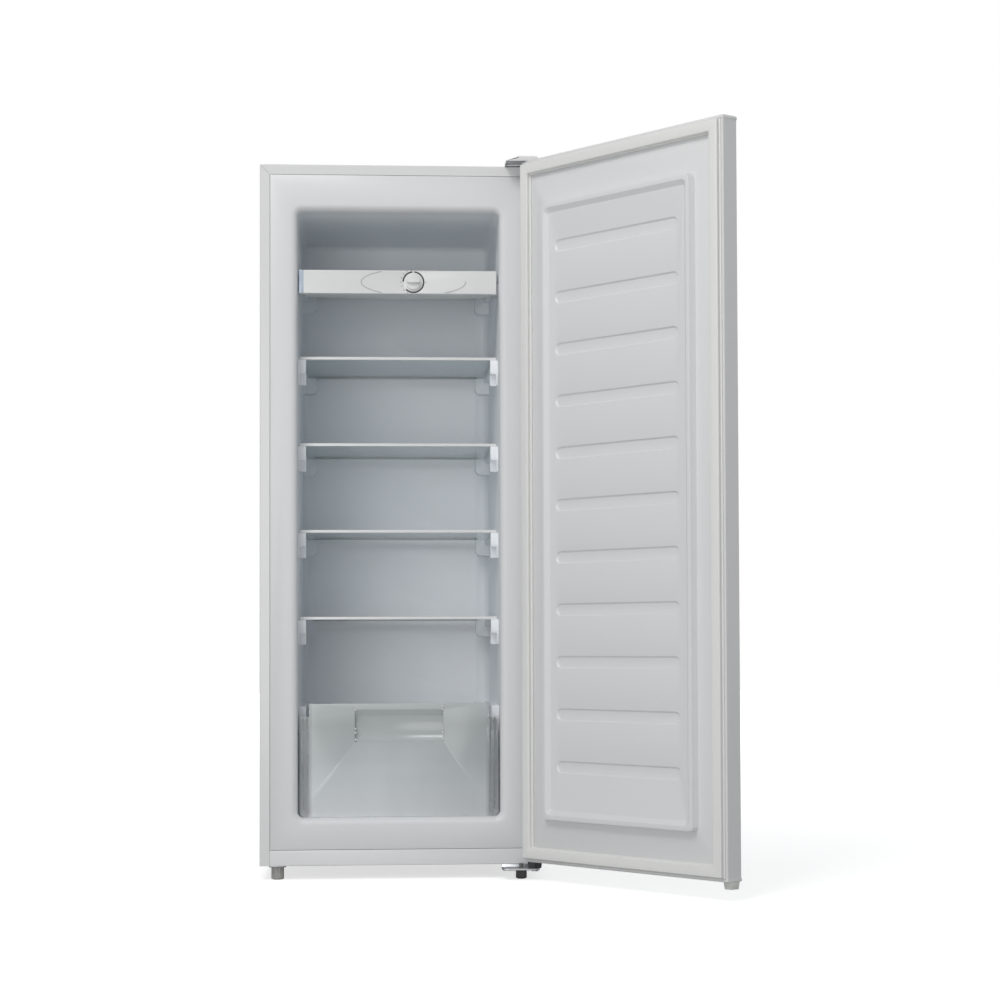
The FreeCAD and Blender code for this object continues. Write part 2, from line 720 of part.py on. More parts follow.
def foam_block():
    """Everything behind the liner's wall, out to the steel shell."""
    rear = CABINET_DEPTH - 2 * SHEET
    block = box(-INSIDE, INSIDE, LINER_WALL, rear, FOOT_HEIGHT, BODY_TOP - SHEET)
    return block.cut(cavity_room(LINER_WALL))


def shelf_level(index):
    """The middle height of each shelf's glass; the top shelf lies on the control housing."""
    return TOP_SHELF - index * SHELF_PITCH


def ledge_levels():
    """Every height that has ledges: one per shelf below the control housing, and the drawer's."""
    shelves = [shelf_level(index) for index in range(1, SHELF_COUNT)]
    return [DRAWER_TOP - DRAWER_LEDGE_DROP] + shelves


def housing_lug(grow):
    """The liner's moulded lug that reaches into an open end of the control housing, here on the right."""
    x0 = CAVITY_HALF - HOUSING_LUG_REACH - grow
    y0 = HOUSING_SET_BACK + HOUSING_LUG_PLACE - HOUSING_LUG_DEPTH / 2 - grow
    z0 = HOUSING_BOTTOM + HOUSING_WALL + REST_GAP - grow
    return box(x0, CAVITY_HALF + LINER_WALL / 2 + grow, y0, y0 + HOUSING_LUG_DEPTH + 2 * grow,
               z0, z0 + HOUSING_LUG_HEIGHT + 2 * grow)


def housing_screw_places():
    x = CAVITY_HALF - HOUSING_LUG_REACH / 2
    y = HOUSING_SET_BACK + HOUSING_LUG_PLACE
    return [(x, y), (-x, y)]


def housing_screw_holes():
    hole = HOUSING_SCREW_RADIUS + SCREW_FIT
    low = HOUSING_BOTTOM - 2 * HOUSING_SCREW_HEAD
    high = HOUSING_BOTTOM + 2 * HOUSING_SCREW_LENGTH
    return [facet_rod(hole, (x, y, low), (x, y, high))
            for x, y in housing_screw_places()]


def rear_lug_block(inner, wall, rear, top):
    """The stop moulded at the rear of a ledge, its lower inner corner taken off in two flats."""
    low = top - REAR_LUG_DROP
    cut = REAR_LUG_CORNER
    third = cut / 3
    front = rear - REAR_LUG_DEPTH
    section = [(inner, top), (wall, top), (wall, low), (inner + cut, low), (inner + third, low + third),
               (inner, low + cut)]
    points = [(x, front, z) for x, z in section]
    return closed_face(points).extrude(Vector(0, REAR_LUG_DEPTH, 0))


def top_shelf_ledge():
    """The ledge behind the control housing that carries the top shelf's rear half."""
    top = HOUSING_BOTTOM + HOUSING_HEIGHT
    wall = CAVITY_HALF + LINER_WALL / 2
    rear = CAVITY_DEPTH + LINER_WALL / 2
    front = HOUSING_SET_BACK + HOUSING_DEPTH + LEDGE_HEIGHT
    rib = box(CAVITY_HALF - LEDGE_WIDTH, wall, front, rear, top - LEDGE_HEIGHT, top)
    inner = CAVITY_HALF - REAR_LUG_WIDTH
    rear_lug = rear_lug_block(inner, wall, rear, top)
    return rib.fuse(rear_lug).removeSplitter()


def side_ledge(level):
    """The moulded ledge of one shelf on the right-hand wall, with its front and rear lugs."""
    wall = CAVITY_HALF + LINER_WALL / 2
    top = level - TRIM_HEIGHT / 2 - REST_GAP
    front = SHELF_FRONT - 2
    rear = CAVITY_DEPTH + LINER_WALL / 2
    rib = box(CAVITY_HALF - LEDGE_WIDTH, wall, front + 1, rear, top - LEDGE_HEIGHT, top)
    notch = LEDGE_NOTCH_PLACE
    gap = box(0, CAVITY_HALF - 2, notch, notch + LEDGE_NOTCH, top - LEDGE_HEIGHT / 2, top + 1)
    lug = prism_x(
        [(front, top), (front, top - LUG_FACE), (front + 8, top - LUG_DROP),
         (front + LUG_DEPTH, top - LUG_DROP), (front + LUG_DEPTH, top)],
        CAVITY_HALF - LUG_WIDTH, wall,
    )
    under = prism_z(
        [(CAVITY_HALF - LUG_WIDTH - 1, front - 1), (CAVITY_HALF - 3, front - 1),
         (CAVITY_HALF - 3, front + LUG_DEPTH - 6), (CAVITY_HALF - LUG_WIDTH - 1, front + LUG_DEPTH - 12)],
        top - LUG_DROP - 1, top - LUG_FACE - 6,
    )
    inner = CAVITY_HALF - REAR_LUG_WIDTH
    rear_lug = rear_lug_block(inner, wall, rear, top)
    return rib.cut(gap).fuse([lug.cut(under), rear_lug]).removeSplitter()


def inner_liner():
    liner = liner_block().cut(foam_block())
    edge = box(-LINER_HALF, LINER_HALF, LINER_WALL, LINER_RETURN, LINER_BOTTOM, LINER_TOP)
    within = box(
        -LINER_HALF + LINER_WALL, LINER_HALF - LINER_WALL, 0, LINER_RETURN + 1,
        LINER_BOTTOM + LINER_WALL, LINER_TOP - LINER_WALL,
    )
    ledges = []
    beyond = lipped_outside()
    for right in [side_ledge(level) for level in ledge_levels()] + [top_shelf_ledge(), housing_lug(0)]:
        right = right.cut(beyond)
        ledges += [right, mirrored(right)]
    return liner.fuse([edge.cut(within)] + ledges).removeSplitter().cut(housing_screw_holes())


def lipped_outside():
    """What lies beyond the liner's own wall, so that no ledge reaches into the foam."""
    room = box(-HALF, HALF, -1, CABINET_DEPTH, FOOT_HEIGHT, BODY_TOP)
    return room.cut(cavity_room(LINER_WALL / 2))


def cabinet_foam():
    foam = foam_block().common(shell_inside(SHEET))
    edge_depth = FLANGE_RETURN + REST_GAP
    rim = box(-HALF, HALF, 0, edge_depth, 0, BODY_TOP)
    kept = box(
        -LINER_HALF + LINER_WALL, LINER_HALF - LINER_WALL, -1, edge_depth + 1,
        LINER_BOTTOM + LINER_WALL, LINER_TOP - LINER_WALL,
    )
    rail_room = box(-HALF, HALF, 0, RAIL_DEPTH + REST_GAP, 0, RAIL_TOP)
    below = box(-HALF, HALF, 0, CABINET_DEPTH, 0, FOOT_HEIGHT + BASE_SHEET)
    bay = bay_profile(BASE_SHEET)
    bay = [(bay[0][0], 0)] + bay[1:3] + [(CABINET_DEPTH + 1, bay[3][1]), (CABINET_DEPTH + 1, 0)]
    bay = prism_x(bay, -HALF, HALF)
    foam = foam.cut([rim.cut(kept), rail_room, below, bay])
    pockets = [box(*room) for room in (evaporator_room(), condenser_room(1), condenser_room(-1))]
    return foam.cut(pockets + top_screw_holes())


# ---- cold machine inside the walls ----
def evaporator_box():
    y0 = CAVITY_DEPTH + LINER_WALL
    half = CAVITY_HALF - EVAPORATOR_SIDE_GAP
    low = CAVITY_BOTTOM + EVAPORATOR_RISE
    return -half, half, y0, y0 + EVAPORATOR, low, CAVITY_TOP - EVAPORATOR_DROP


def evaporator_room():
    x0, x1, y0, y1, z0, z1 = evaporator_box()
    gap = REST_GAP
    return x0 - gap, x1 + gap, y0, y1 + EVAPORATOR_CHANNEL + gap, z0 - gap, z1 + gap


def evaporator_plate():
    """A roll-bonded plate on the back of the liner, its channel swelling to the rear."""
    x0, x1, y0, y1, z0, z1 = evaporator_box()
    plate = box(x0, x1, y0, y1, z0, z1)
    rear = y1 + EVAPORATOR_CHANNEL
    left = x0 + EVAPORATOR_SIDE_MARGIN
    right = x1 - EVAPORATOR_SIDE_MARGIN
    pitch = (z1 - z0 - 2 * EVAPORATOR_MARGIN) / (EVAPORATOR_RUNS - 1)
    levels = [z0 + EVAPORATOR_MARGIN + n * pitch for n in range(EVAPORATOR_RUNS)]
    half = EVAPORATOR_TRACK / 2
    bars = [box(left, right, y1, rear, z - half, z + half) for z in levels]
    for n, z in enumerate(levels[:-1]):
        x = left if n % 2 else right - EVAPORATOR_TRACK
        bars.append(box(x, x + EVAPORATOR_TRACK, y1, rear, z, z + pitch))
    return plate.fuse(bars).removeSplitter()


def condenser_room(side):
    gap = REST_GAP
    reach = CONDENSER_FRONT + (CONDENSER_RUNS - 1) * CONDENSER_PITCH
    x1 = INSIDE
    x0 = INSIDE - 2 * CONDENSER_RADIUS - 2 * gap
    xs = (x0, x1) if side > 0 else (-x1, -x0)
    y0 = CONDENSER_FRONT - CONDENSER_RADIUS - gap
    return xs[0], xs[1], y0, reach + CONDENSER_RADIUS + gap, CONDENSER_BOTTOM - 3, CONDENSER_TOP + 3


def condenser_tube():
    """The long warm tube laid up and down against the inside of a side skin."""
    x = INSIDE - CONDENSER_RADIUS - REST_GAP
    points = []
    for n in range(CONDENSER_RUNS):
        y = CONDENSER_FRONT + n * CONDENSER_PITCH
        ends = [CONDENSER_BOTTOM, CONDENSER_TOP]
        if n % 2:
            ends.reverse()
        points += [(x, y, ends[0]), (x, y, ends[1])]
    return tube(points, CONDENSER_RADIUS, CONDENSER_BEND)


# ---- machine bay ----
def compressor_floor():
    return FOOT_HEIGHT + BASE_PLATE


def compressor_centre():
    return COMPRESSOR_PLACE, CABINET_DEPTH - BASE_PLATE_DEPTH / 2 - COMPRESSOR_SET_BACK


def compressor():
    x, y = compressor_centre()
    foot = compressor_floor() + GROMMET_HEIGHT
    low = foot + FOOT_SHEET
    top = low + COMPRESSOR_HEIGHT
    r = COMPRESSOR_RADIUS
    seam = low + COMPRESSOR_SEAM_SHARE * COMPRESSOR_HEIGHT
    seam_top = seam + COMPRESSOR_SEAM_HEIGHT
    bowl = [(r - inset, low + rise) for inset, rise in COMPRESSOR_BOWL]
    dome = [(r - inset, top - drop) for inset, drop in COMPRESSOR_DOME]
    lower = facet_turned(bowl + [(r, seam)], (x, y), POT_SIDES)
    rim = facet_turned([(r + COMPRESSOR_SEAM, seam), (r + COMPRESSOR_SEAM, seam_top)], (x, y), POT_SIDES)
    upper = facet_turned([(r, seam_top)] + dome, (x, y), POT_SIDES)
    pot = lower.fuse([rim, upper]).removeSplitter()
    side = GROMMET_SPREAD + COMPRESSOR_FOOT_SIDE
    end = GROMMET_SPREAD + COMPRESSOR_FOOT_END
    arm = GROMMET_SPREAD - COMPRESSOR_FOOT_ARM
    waist = COMPRESSOR_FOOT_WAIST
    plate = box(x - side, x + side, y - end, y + end, foot, low)
    plate = plate.cut(box(x - arm, x + arm, y - end - 1, y - waist, foot - 1, low + 1))
    plate = plate.cut(box(x - arm, x + arm, y + waist, y + end + 1, foot - 1, low + 1))
    hole = GROMMET_NECK + REST_GAP / 2
    holes = [facet_rod(hole, (a, b, foot - 1), (a, b, low + 1)) for a, b in grommet_places()]
    return pot.fuse(plate.cut(holes)).removeSplitter()


def grommet_places():
    x, y = compressor_centre()
    reach = GROMMET_SPREAD - COMPRESSOR_FOOT_END
    return [(x + sx * GROMMET_SPREAD, y + sy * reach) for sx in (-1, 1) for sy in (-1, 1)]


def grommet(a, b):
    floor = compressor_floor()
    foot = floor + GROMMET_HEIGHT
    top = foot + FOOT_SHEET + GROMMET_LIP
    pad = facet_turned([(GROMMET_RADIUS, floor), (GROMMET_RADIUS - 2, foot)], (a, b), HARDWARE_SIDES)
    neck = facet_rod(GROMMET_NECK, (a, b, foot), (a, b, top))
    bore = facet_rod(BOLT_RADIUS + REST_GAP / 2, (a, b, floor - 1), (a, b, top + 1))
    return pad.fuse(neck).removeSplitter().cut(bore)


def grommet_bolt(a, b):
    floor = compressor_floor()
    top = floor + GROMMET_HEIGHT + FOOT_SHEET + GROMMET_LIP
    shank = facet_rod(BOLT_RADIUS, (a, b, FOOT_HEIGHT - 4), (a, b, top + 1))
    nut = hexagon(a, b, NUT_RADIUS, top + RUNNING_FIT, top + NUT_HEIGHT)
    return shank.fuse(nut).removeSplitter()


def hexagon(x, y, radius, z0, z1):
    points = []
    for n in range(6):
        turn = math.radians(60 * n)
        points.append((x + radius * math.cos(turn), y + radius * math.sin(turn)))
    return prism_z(points, z0, z1)


def terminal_cover():
    x, y = compressor_centre()
    low = compressor_floor() + GROMMET_HEIGHT + FOOT_SHEET + TERMINAL_RISE
    half = TERMINAL_HALF_WIDTH
    x1 = x - COMPRESSOR_RADIUS - REST_GAP
    x0 = x1 - TERMINAL_DEPTH
    cover = box(x0, x1, y - half, y + half, low, low + TERMINAL_HEIGHT)
    return fillet(cover, TERMINAL_CORNER, lambda p: near(p.x, x0) and near(abs(p.y - y), half))


def drier_place():
    """The foot of the filter drier, which stands beside the compressor."""
    x = compressor_centre()[0] - COMPRESSOR_RADIUS - DRIER_GAP
    return x, BAY_FRONT + DRIER_SET_BACK, compressor_floor() + DRIER_LIFT


def filter_drier():
    x, y, z = drier_place()
    top = z + DRIER_LENGTH
    body = DRIER_RADIUS
    outline = [(TUBE_RADIUS, z), (body, z + DRIER_NECK), (body, top - DRIER_NECK), (TUBE_RADIUS, top)]
    return facet_turned(outline, (x, y), HARDWARE_SIDES)


def refrigerant_tubes():
    """Discharge and suction tubes from the compressor, and the tubes at the drier's two ends."""
    x, y = compressor_centre()
    low = compressor_floor() + GROMMET_HEIGHT + FOOT_SHEET
    drier_x, drier_y, drier_low = drier_place()
    drier_top = drier_low + DRIER_LENGTH + REST_GAP
    ceiling = BAY_TOP - REST_GAP
    right = x + COMPRESSOR_RADIUS + REST_GAP

    def elbow(side, rise, reach):
        end = right + reach
        points = [(right, side, low + rise), (end, side, low + rise), (end, side, ceiling)]
        return tube(points, TUBE_RADIUS, TUBE_BEND)

    suction = elbow(y, SUCTION_RISE, SUCTION_REACH)
    discharge = elbow(y + DISCHARGE_OFFSET, DISCHARGE_RISE, DISCHARGE_REACH)
    turn = drier_top + RISER_LIFT
    behind = drier_y + RISER_REACH
    path = [(drier_x, drier_y, drier_top), (drier_x, drier_y, turn)]
    path += [(drier_x, behind, turn), (drier_x, behind, ceiling)]
    return [suction, discharge, tube(path, TUBE_RADIUS, RISER_BEND)]


def compressor_base():
    x1 = INSIDE - REST_GAP
    y1 = BASE_REAR
    y0 = y1 - BASE_PLATE_DEPTH
    profile = [
        (y0 + BASE_PLATE, FOOT_HEIGHT + BASE_PLATE_FLANGE), (y0 + BASE_PLATE, FOOT_HEIGHT + BASE_PLATE),
        (y1 - BASE_PLATE, FOOT_HEIGHT + BASE_PLATE), (y1 - BASE_PLATE, FOOT_HEIGHT + BASE_PLATE_FLANGE),
        (y1, FOOT_HEIGHT + BASE_PLATE_FLANGE), (y1, FOOT_HEIGHT), (y0, FOOT_HEIGHT),
        (y0, FOOT_HEIGHT + BASE_PLATE_FLANGE),
    ]
    plate = prism_x(profile, -x1, x1)
    holes = [facet_rod(BOLT_RADIUS + REST_GAP, (a, b, 0), (a, b, BAY_TOP)) for a, b in grommet_places()]
    gland_x, gland_z = gland_place()
    holes.append(facet_rod(GLAND_RADIUS, (gland_x, y1 - 6, gland_z), (gland_x, y1 + 1, gland_z)))
    for n in range(VENT_COUNT):
        x = -VENT_PLACE - n * VENT_PITCH
        low = FOOT_HEIGHT - 1
        high = FOOT_HEIGHT + BASE_PLATE + 1
        holes.append(box(x - VENT_WIDTH, x, y0 + VENT_END, y1 - VENT_END, low, high))
    return plate.cut(holes)


def gland_place():
    return -HALF + GLAND_PLACE, FOOT_HEIGHT + BASE_PLATE_FLANGE


def cord_gland():
    """The cord's bush in the notch of the base plate's rear edge."""
    x, z = gland_place()
    y1 = BASE_REAR
    fit = REST_GAP / 2
    front = y1 - GLAND_REACH
    rear = y1 + GLAND_REACH - GLAND_FLANGE
    wide = GLAND_RADIUS + GLAND_FLANGE
    body = facet_rod(GLAND_RADIUS - fit, (x, front, z), (x, rear, z))
    rear_flange = facet_rod(wide, (x, y1 + fit, z), (x, rear, z))
    front_flange = facet_rod(wide, (x, front, z), (x, y1 - BASE_PLATE - fit, z))
    hole = facet_rod(CORD_RADIUS, (x, front - 1, z), (x, rear + 1, z))
    return body.fuse([rear_flange, front_flange]).removeSplitter().cut(hole)


def rear_foot(side):
    x = side * (HALF - REAR_FOOT_INSET)
    y = CABINET_DEPTH - REAR_FOOT_PLACE
    r = REAR_FOOT_RADIUS
    return facet_turned([(r - 2, 0), (r, 2), (r - 3, FOOT_HEIGHT)], (x, y), HARDWARE_SIDES)


# ---- front feet ----
def front_foot(x, y, radius, height, stud_top):
    """A moulded pad with grip ribs round its rim, on a plain stud that stands for the thread."""
    ring = []
    for n in range(2 * FOOT_RIBS):
        reach = radius if n % 2 else radius - FOOT_RIB
        angle = math.pi * n / FOOT_RIBS
        ring.append((x + reach * math.cos(angle), y + reach * math.sin(angle)))
    ribbed = prism_z(ring, FOOT_CHAMFER, height)
    edge = [(radius - 2 * FOOT_CHAMFER, 0), (radius - FOOT_RIB, FOOT_CHAMFER)]
    sole = facet_turned(edge, (x, y), HARDWARE_SIDES)
    stud = rod(FOOT_STUD_RADIUS, (x, y, height), (x, y, stud_top))
    return ribbed.fuse([sole, stud]).removeSplitter()


def left_foot_plate():
    x = -(HALF - FOOT_INSET)
    y = LEFT_FOOT_PLACE
    half = FOOT_PLATE_WIDTH / 2
    z1 = FOOT_HEIGHT
    outline = [(p.x, p.z) for p in soft_ring(x - half, x + half, y - half, y + half, FOOT_PLATE_CORNER, 0)]
    plate = prism_z(outline, z1 - BRACKET, z1)
    hole = rod(FOOT_STUD_RADIUS + RUNNING_FIT, (x, y, 0), (x, y, BODY_TOP))
    return plate.cut(hole)


# ---- hinges ----
def bracket_corners(x0, x1):
    """Picks the two upright edges at the front of a hinge plate."""
    return lambda p: near(p.y, -BRACKET_FRONT) and (near(p.x, x0) or near(p.x, x1))


def bottom_bracket():
    """The stepped steel bracket under the right corner, which holds the pin and the right foot."""
    x1 = HALF - REST_GAP
    x0 = x1 - BRACKET_WIDTH
    top = FOOT_HEIGHT
    low = top - BRACKET_DROP
    step = BRACKET_STEP
    profile = [
        (BRACKET_REAR, top), (step, top), (step, top - BRACKET), (BRACKET_REAR, top - BRACKET),
    ]
    rear = prism_x(profile, x0, x1)
    web = box(x0, x1, step - BRACKET, step, low - BRACKET, top)
    front = box(x0, x1, -BRACKET_FRONT, step - BRACKET, low - BRACKET, low)
    front = fillet(front, BRACKET_CORNER, bracket_corners(x0, x1))
    bracket = rear.fuse([web, front]).removeSplitter()
    pin_hole = rod(PIN_RADIUS + RUNNING_FIT, (HINGE_X, HINGE_Y, 0), (HINGE_X, HINGE_Y, low + 1))
    foot = (HALF - FOOT_INSET, RIGHT_FOOT_PLACE)
    foot_hole = rod(FOOT_STUD_RADIUS + RUNNING_FIT, foot + (0,), foot + (low + 1,))
    hole = SCREW_RADIUS + SCREW_FIT
    holes = [facet_rod(hole, (a, b, 0), (a, b, BODY_TOP)) for a, b in bottom_screw_places()]
    return bracket.cut([pin_hole, foot_hole] + holes)


def bottom_screw_places():
    x1 = HALF - REST_GAP
    y = RAIL_DEPTH / 2 + BRACKET
    inset = BRACKET_SCREW_INSET
    middle = (x1 - BRACKET_WIDTH / 2, y + BRACKET_SCREW_STAGGER)
    return [(x1 - BRACKET_WIDTH + inset, y), middle, (x1 - inset, y)]


def bottom_screw(x, y):
    z = FOOT_HEIGHT - BRACKET
    head = hexagon(x, y, SCREW_HEAD_RADIUS, z - SCREW_HEAD, z)
    return head.fuse(facet_rod(SCREW_RADIUS, (x, y, z), (x, y, z + SCREW_LENGTH))).removeSplitter()


def bottom_pin():
    low = FOOT_HEIGHT - BRACKET_DROP - BRACKET
    head = facet_rod(PIN_HEAD_RADIUS, (HINGE_X, HINGE_Y, low - PIN_HEAD), (HINGE_X, HINGE_Y, low))
    top = DOOR_BOTTOM + CAP_HEIGHT + 4
    shank = rod(PIN_RADIUS, (HINGE_X, HINGE_Y, low), (HINGE_X, HINGE_Y, top - PIN_TIP))
    tip = [(PIN_RADIUS, top - PIN_TIP), (PIN_RADIUS - PIN_TIP, top)]
    return head.fuse([shank, facet_turned(tip, (HINGE_X, HINGE_Y), HARDWARE_SIDES)]).removeSplitter()


def top_bracket():
    """The joggled steel plate on the cabinet's top that carries the upper pin."""
    x1 = HALF - TOP_BRACKET_INSET
    x0 = x1 - TOP_BRACKET_WIDTH
    low = BODY_TOP
    step = TOP_BRACKET_JOGGLE
    high = max(BODY_TOP, DOOR_TOP) + REST_GAP + TOP_BRACKET_LIFT - BRACKET
    points = [(TOP_BRACKET_REAR, low), (step, low), (-step, high), (-BRACKET_FRONT, high)]
    plate = bent_sheet(points, BRACKET, x0, x1)
    plate = fillet(plate, BRACKET_CORNER, bracket_corners(x0, x1))
    above = high + 2 * BRACKET
    pin_hole = rod(PIN_RADIUS + RUNNING_FIT, (HINGE_X, HINGE_Y, high - BRACKET), (HINGE_X, HINGE_Y, above))
    hole = SCREW_RADIUS + SCREW_FIT
    holes = [facet_rod(hole, (a, b, low - 1), (a, b, low + BRACKET + 1)) for a, b in top_screw_places()]
    return plate.cut([pin_hole] + holes)


def top_screw_places():
    x1 = HALF - TOP_BRACKET_INSET
    x0 = x1 - TOP_BRACKET_WIDTH
    front = [(x0 + TOP_SCREW_INSET, TOP_SCREW_FRONT), (x1 - TOP_SCREW_INSET, TOP_SCREW_FRONT)]
    return front + [((x0 + x1) / 2, TOP_SCREW_REAR)]


def top_screw_holes():
    """Clearance holes for the upper hinge's screws, through the steel and into the foam."""
    low = BODY_TOP - SCREW_LENGTH
    hole = SCREW_RADIUS + SCREW_FIT
    return [facet_rod(hole, (a, b, low), (a, b, BODY_TOP + 1)) for a, b in top_screw_places()]


def top_screw(x, y):
    z = BODY_TOP + BRACKET
    head = hexagon(x, y, SCREW_HEAD_RADIUS, z, z + SCREW_HEAD)
    return head.fuse(facet_rod(SCREW_RADIUS, (x, y, z - SCREW_LENGTH), (x, y, z))).removeSplitter()


def top_pin():
    high = max(BODY_TOP, DOOR_TOP) + REST_GAP + TOP_BRACKET_LIFT
    low = DOOR_TOP - PIN_ENGAGEMENT
    shank = rod(PIN_RADIUS, (HINGE_X, HINGE_Y, low + PIN_TIP), (HINGE_X, HINGE_Y, high))
    tip = [(PIN_RADIUS - PIN_TIP, low), (PIN_RADIUS, low + PIN_TIP)]
    head = facet_rod(PIN_HEAD_RADIUS, (HINGE_X, HINGE_Y, high), (HINGE_X, HINGE_Y, high + PIN_HEAD))
    return head.fuse([shank, facet_turned(tip, (HINGE_X, HINGE_Y), HARDWARE_SIDES)]).removeSplitter()


def top_cover():
    """The moulded cap over the upper hinge, sloping down to its front."""
    gap = COVER_CLEARANCE
    x1 = HALF + COVER_OVERHANG
    x0 = x1 - TOP_BRACKET_WIDTH - COVER_INNER_SIDE
    low = max(BODY_TOP, DOOR_TOP) + REST_GAP
    top = low + COVER_HEIGHT
    front = -BRACKET_FRONT - gap
    rear = TOP_BRACKET_REAR + gap
    seat = BODY_TOP
    nose = (front + COVER_NOSE, low + COVER_NOSE_HEIGHT)
    tail = (rear - COVER_REAR_EDGE, top - COVER_REAR_DROP)
    outline = [(front, low), (-2, low), (-2, seat), (rear, seat), (rear, tail[1]), (tail[0], top),
               (nose[0], top), (front, nose[1])]
    outside = prism_x(outline, x0, x1)
    outside = fillet(outside, COVER_EDGE, lambda p: (near(p.x, x0) or near(p.x, x1)) and p.z > low + 0.5)
    w = COVER_WALL
    inner = [(front + w, seat - 1), (rear - w, seat - 1), (rear - w, tail[1] - w / 2),
             (tail[0] - w / 2, top - w), (nose[0] + w / 2, top - w), (front + w, nose[1] - w / 2)]
    hollow = prism_x(inner, x0 + w, x1 - w)
    return outside.cut(hollow)


# ---- control housing ----
def housing_front():
    return HOUSING_SET_BACK


def housing_plan(inset):
    """The housing from above: straight front, rear edge bowed out in the middle."""
    half = CAVITY_HALF - HOUSING_SIDE_GAP - inset
    front = housing_front() + inset
    end = housing_front() + HOUSING_END_DEPTH - inset
    deep = housing_front() + HOUSING_DEPTH - inset
    z = HOUSING_BOTTOM + (inset if inset else 0)
    a = Vector(-half, front, z)
    b = Vector(half, front, z)
    c = Vector(half, end, z)
    d = Vector(-half, end, z)
    edges = [
        Part.LineSegment(a, b).toShape(), Part.LineSegment(b, c).toShape(),
        Part.Arc(c, Vector(0, deep, z), d).toShape(), Part.LineSegment(d, a).toShape(),
    ]
    return Part.Face(Part.Wire(edges))


def control_housing():
    outside = housing_plan(0).extrude(Vector(0, 0, HOUSING_HEIGHT))
    front = housing_front()
    outside = fillet(outside, 2.0, lambda p: near(p.y, front) and abs(p.x) < CAVITY_HALF)
    hollow = housing_plan(HOUSING_WALL).extrude(Vector(0, 0, HOUSING_HEIGHT - 2 * HOUSING_WALL))
    z = HOUSING_BOTTOM + HOUSING_HEIGHT / 2
    before = (DIAL_OFFSET, front - 2, z)
    hole = rod(KNOB_STEM_RADIUS + 1, before, (DIAL_OFFSET, front + 2 * HOUSING_WALL, z))
    ring = rod(DIAL_RING_RADIUS, before, (DIAL_OFFSET, front + DIAL_RING_DEPTH, z))
    ring = ring.cut(rod(DIAL_RING_RADIUS - DIAL_RING_WIDTH, before, (DIAL_OFFSET, front + 2, z)))
    gap_box = box(DIAL_OFFSET - 3, DIAL_OFFSET + 3, front - 2, front + 2, z, z + DIAL_RING_RADIUS + 2)
    ring = ring.cut(gap_box)
    body = outside.cut([hollow, hole, ring])
    lug_room = housing_lug(2 * REST_GAP)
    return body.cut([lug_room, mirrored(lug_room)] + housing_screw_holes())


def housing_screw(x, y):
    r = HOUSING_SCREW_RADIUS
    z = HOUSING_BOTTOM
    head = facet_turned([(r + 1, z - HOUSING_SCREW_HEAD), (r + 2, z)], (x, y), HARDWARE_SIDES)
    return head.fuse(facet_rod(r, (x, y, z), (x, y, z + HOUSING_SCREW_LENGTH))).removeSplitter()


def thermostat():
    front = housing_front() + HOUSING_WALL + REST_GAP
    z = HOUSING_BOTTOM + HOUSING_HEIGHT / 2
    half = THERMOSTAT_WIDTH / 2
    case = box(DIAL_OFFSET - half, DIAL_OFFSET + half, front, front + THERMOSTAT_DEPTH,
               z - THERMOSTAT_HEIGHT / 2, z + THERMOSTAT_HEIGHT / 2)
    high = THERMOSTAT_HEIGHT / 2
    case = fillet(case, THERMOSTAT_CORNER,
                  lambda p: near(abs(p.x - DIAL_OFFSET), half) and near(abs(p.z - z), high))
    end = front + KNOB_STEM_BORE
    bore = rod(KNOB_STEM_RADIUS + RUNNING_FIT, (DIAL_OFFSET, front - 1, z), (DIAL_OFFSET, end, z))
    return case.cut(bore)


def sensor_bulb():
    """The thermostat's sensing bulb, lying in the housing beside the thermostat."""
    z = HOUSING_BOTTOM + HOUSING_WALL + REST_GAP + BULB_RADIUS
    y = housing_front() + BULB_SET_BACK
    x0 = DIAL_OFFSET - THERMOSTAT_WIDTH / 2 - BULB_GAP
    return rod(BULB_RADIUS, (x0, y, z), (x0 - BULB_LENGTH, y, z))


def thermostat_knob():
    front = housing_front()
    z = HOUSING_BOTTOM + HOUSING_HEIGHT / 2
    y1 = front - KNOB_GAP
    disc_depth = KNOB_HEIGHT - KNOB_GRIP_HEIGHT
    disc = rod(KNOB_RADIUS, (DIAL_OFFSET, y1 - disc_depth, z), (DIAL_OFFSET, y1, z))
    half = KNOB_GRIP_WIDTH / 2
    reach = KNOB_RADIUS - 2
    y0 = y1 - KNOB_HEIGHT
    grip = box(DIAL_OFFSET - reach, DIAL_OFFSET + reach, y0, y1, z - half, z + half)
    grip = fillet(grip, KNOB_GRIP_ROUND, lambda p: near(p.y, y0) and near(abs(p.z - z), half))
    end = front + HOUSING_WALL + KNOB_STEM_REACH
    stem = rod(KNOB_STEM_RADIUS, (DIAL_OFFSET, y1 - 1, z), (DIAL_OFFSET, end, z))
    return disc.fuse([grip, stem]).removeSplitter()


# ---- shelves ----
def shelf_half():
    return CAVITY_HALF - SHELF_SIDE_GAP


def shelf_rear():
    return CAVITY_DEPTH - SHELF_REAR_GAP


def shelf_glass(level):
    half = shelf_half()
    rear = shelf_rear()
    pane = box(-half, half, SHELF_FRONT + TRIM_WALL + TRIM_FIT, rear - TRIM_WALL - TRIM_FIT,
               level - GLASS / 2, level + GLASS / 2)
    back = rear - TRIM_WALL - TRIM_FIT
    return fillet(pane, GLASS_CORNER, lambda p: near(p.y, back) and near(abs(p.x), half))


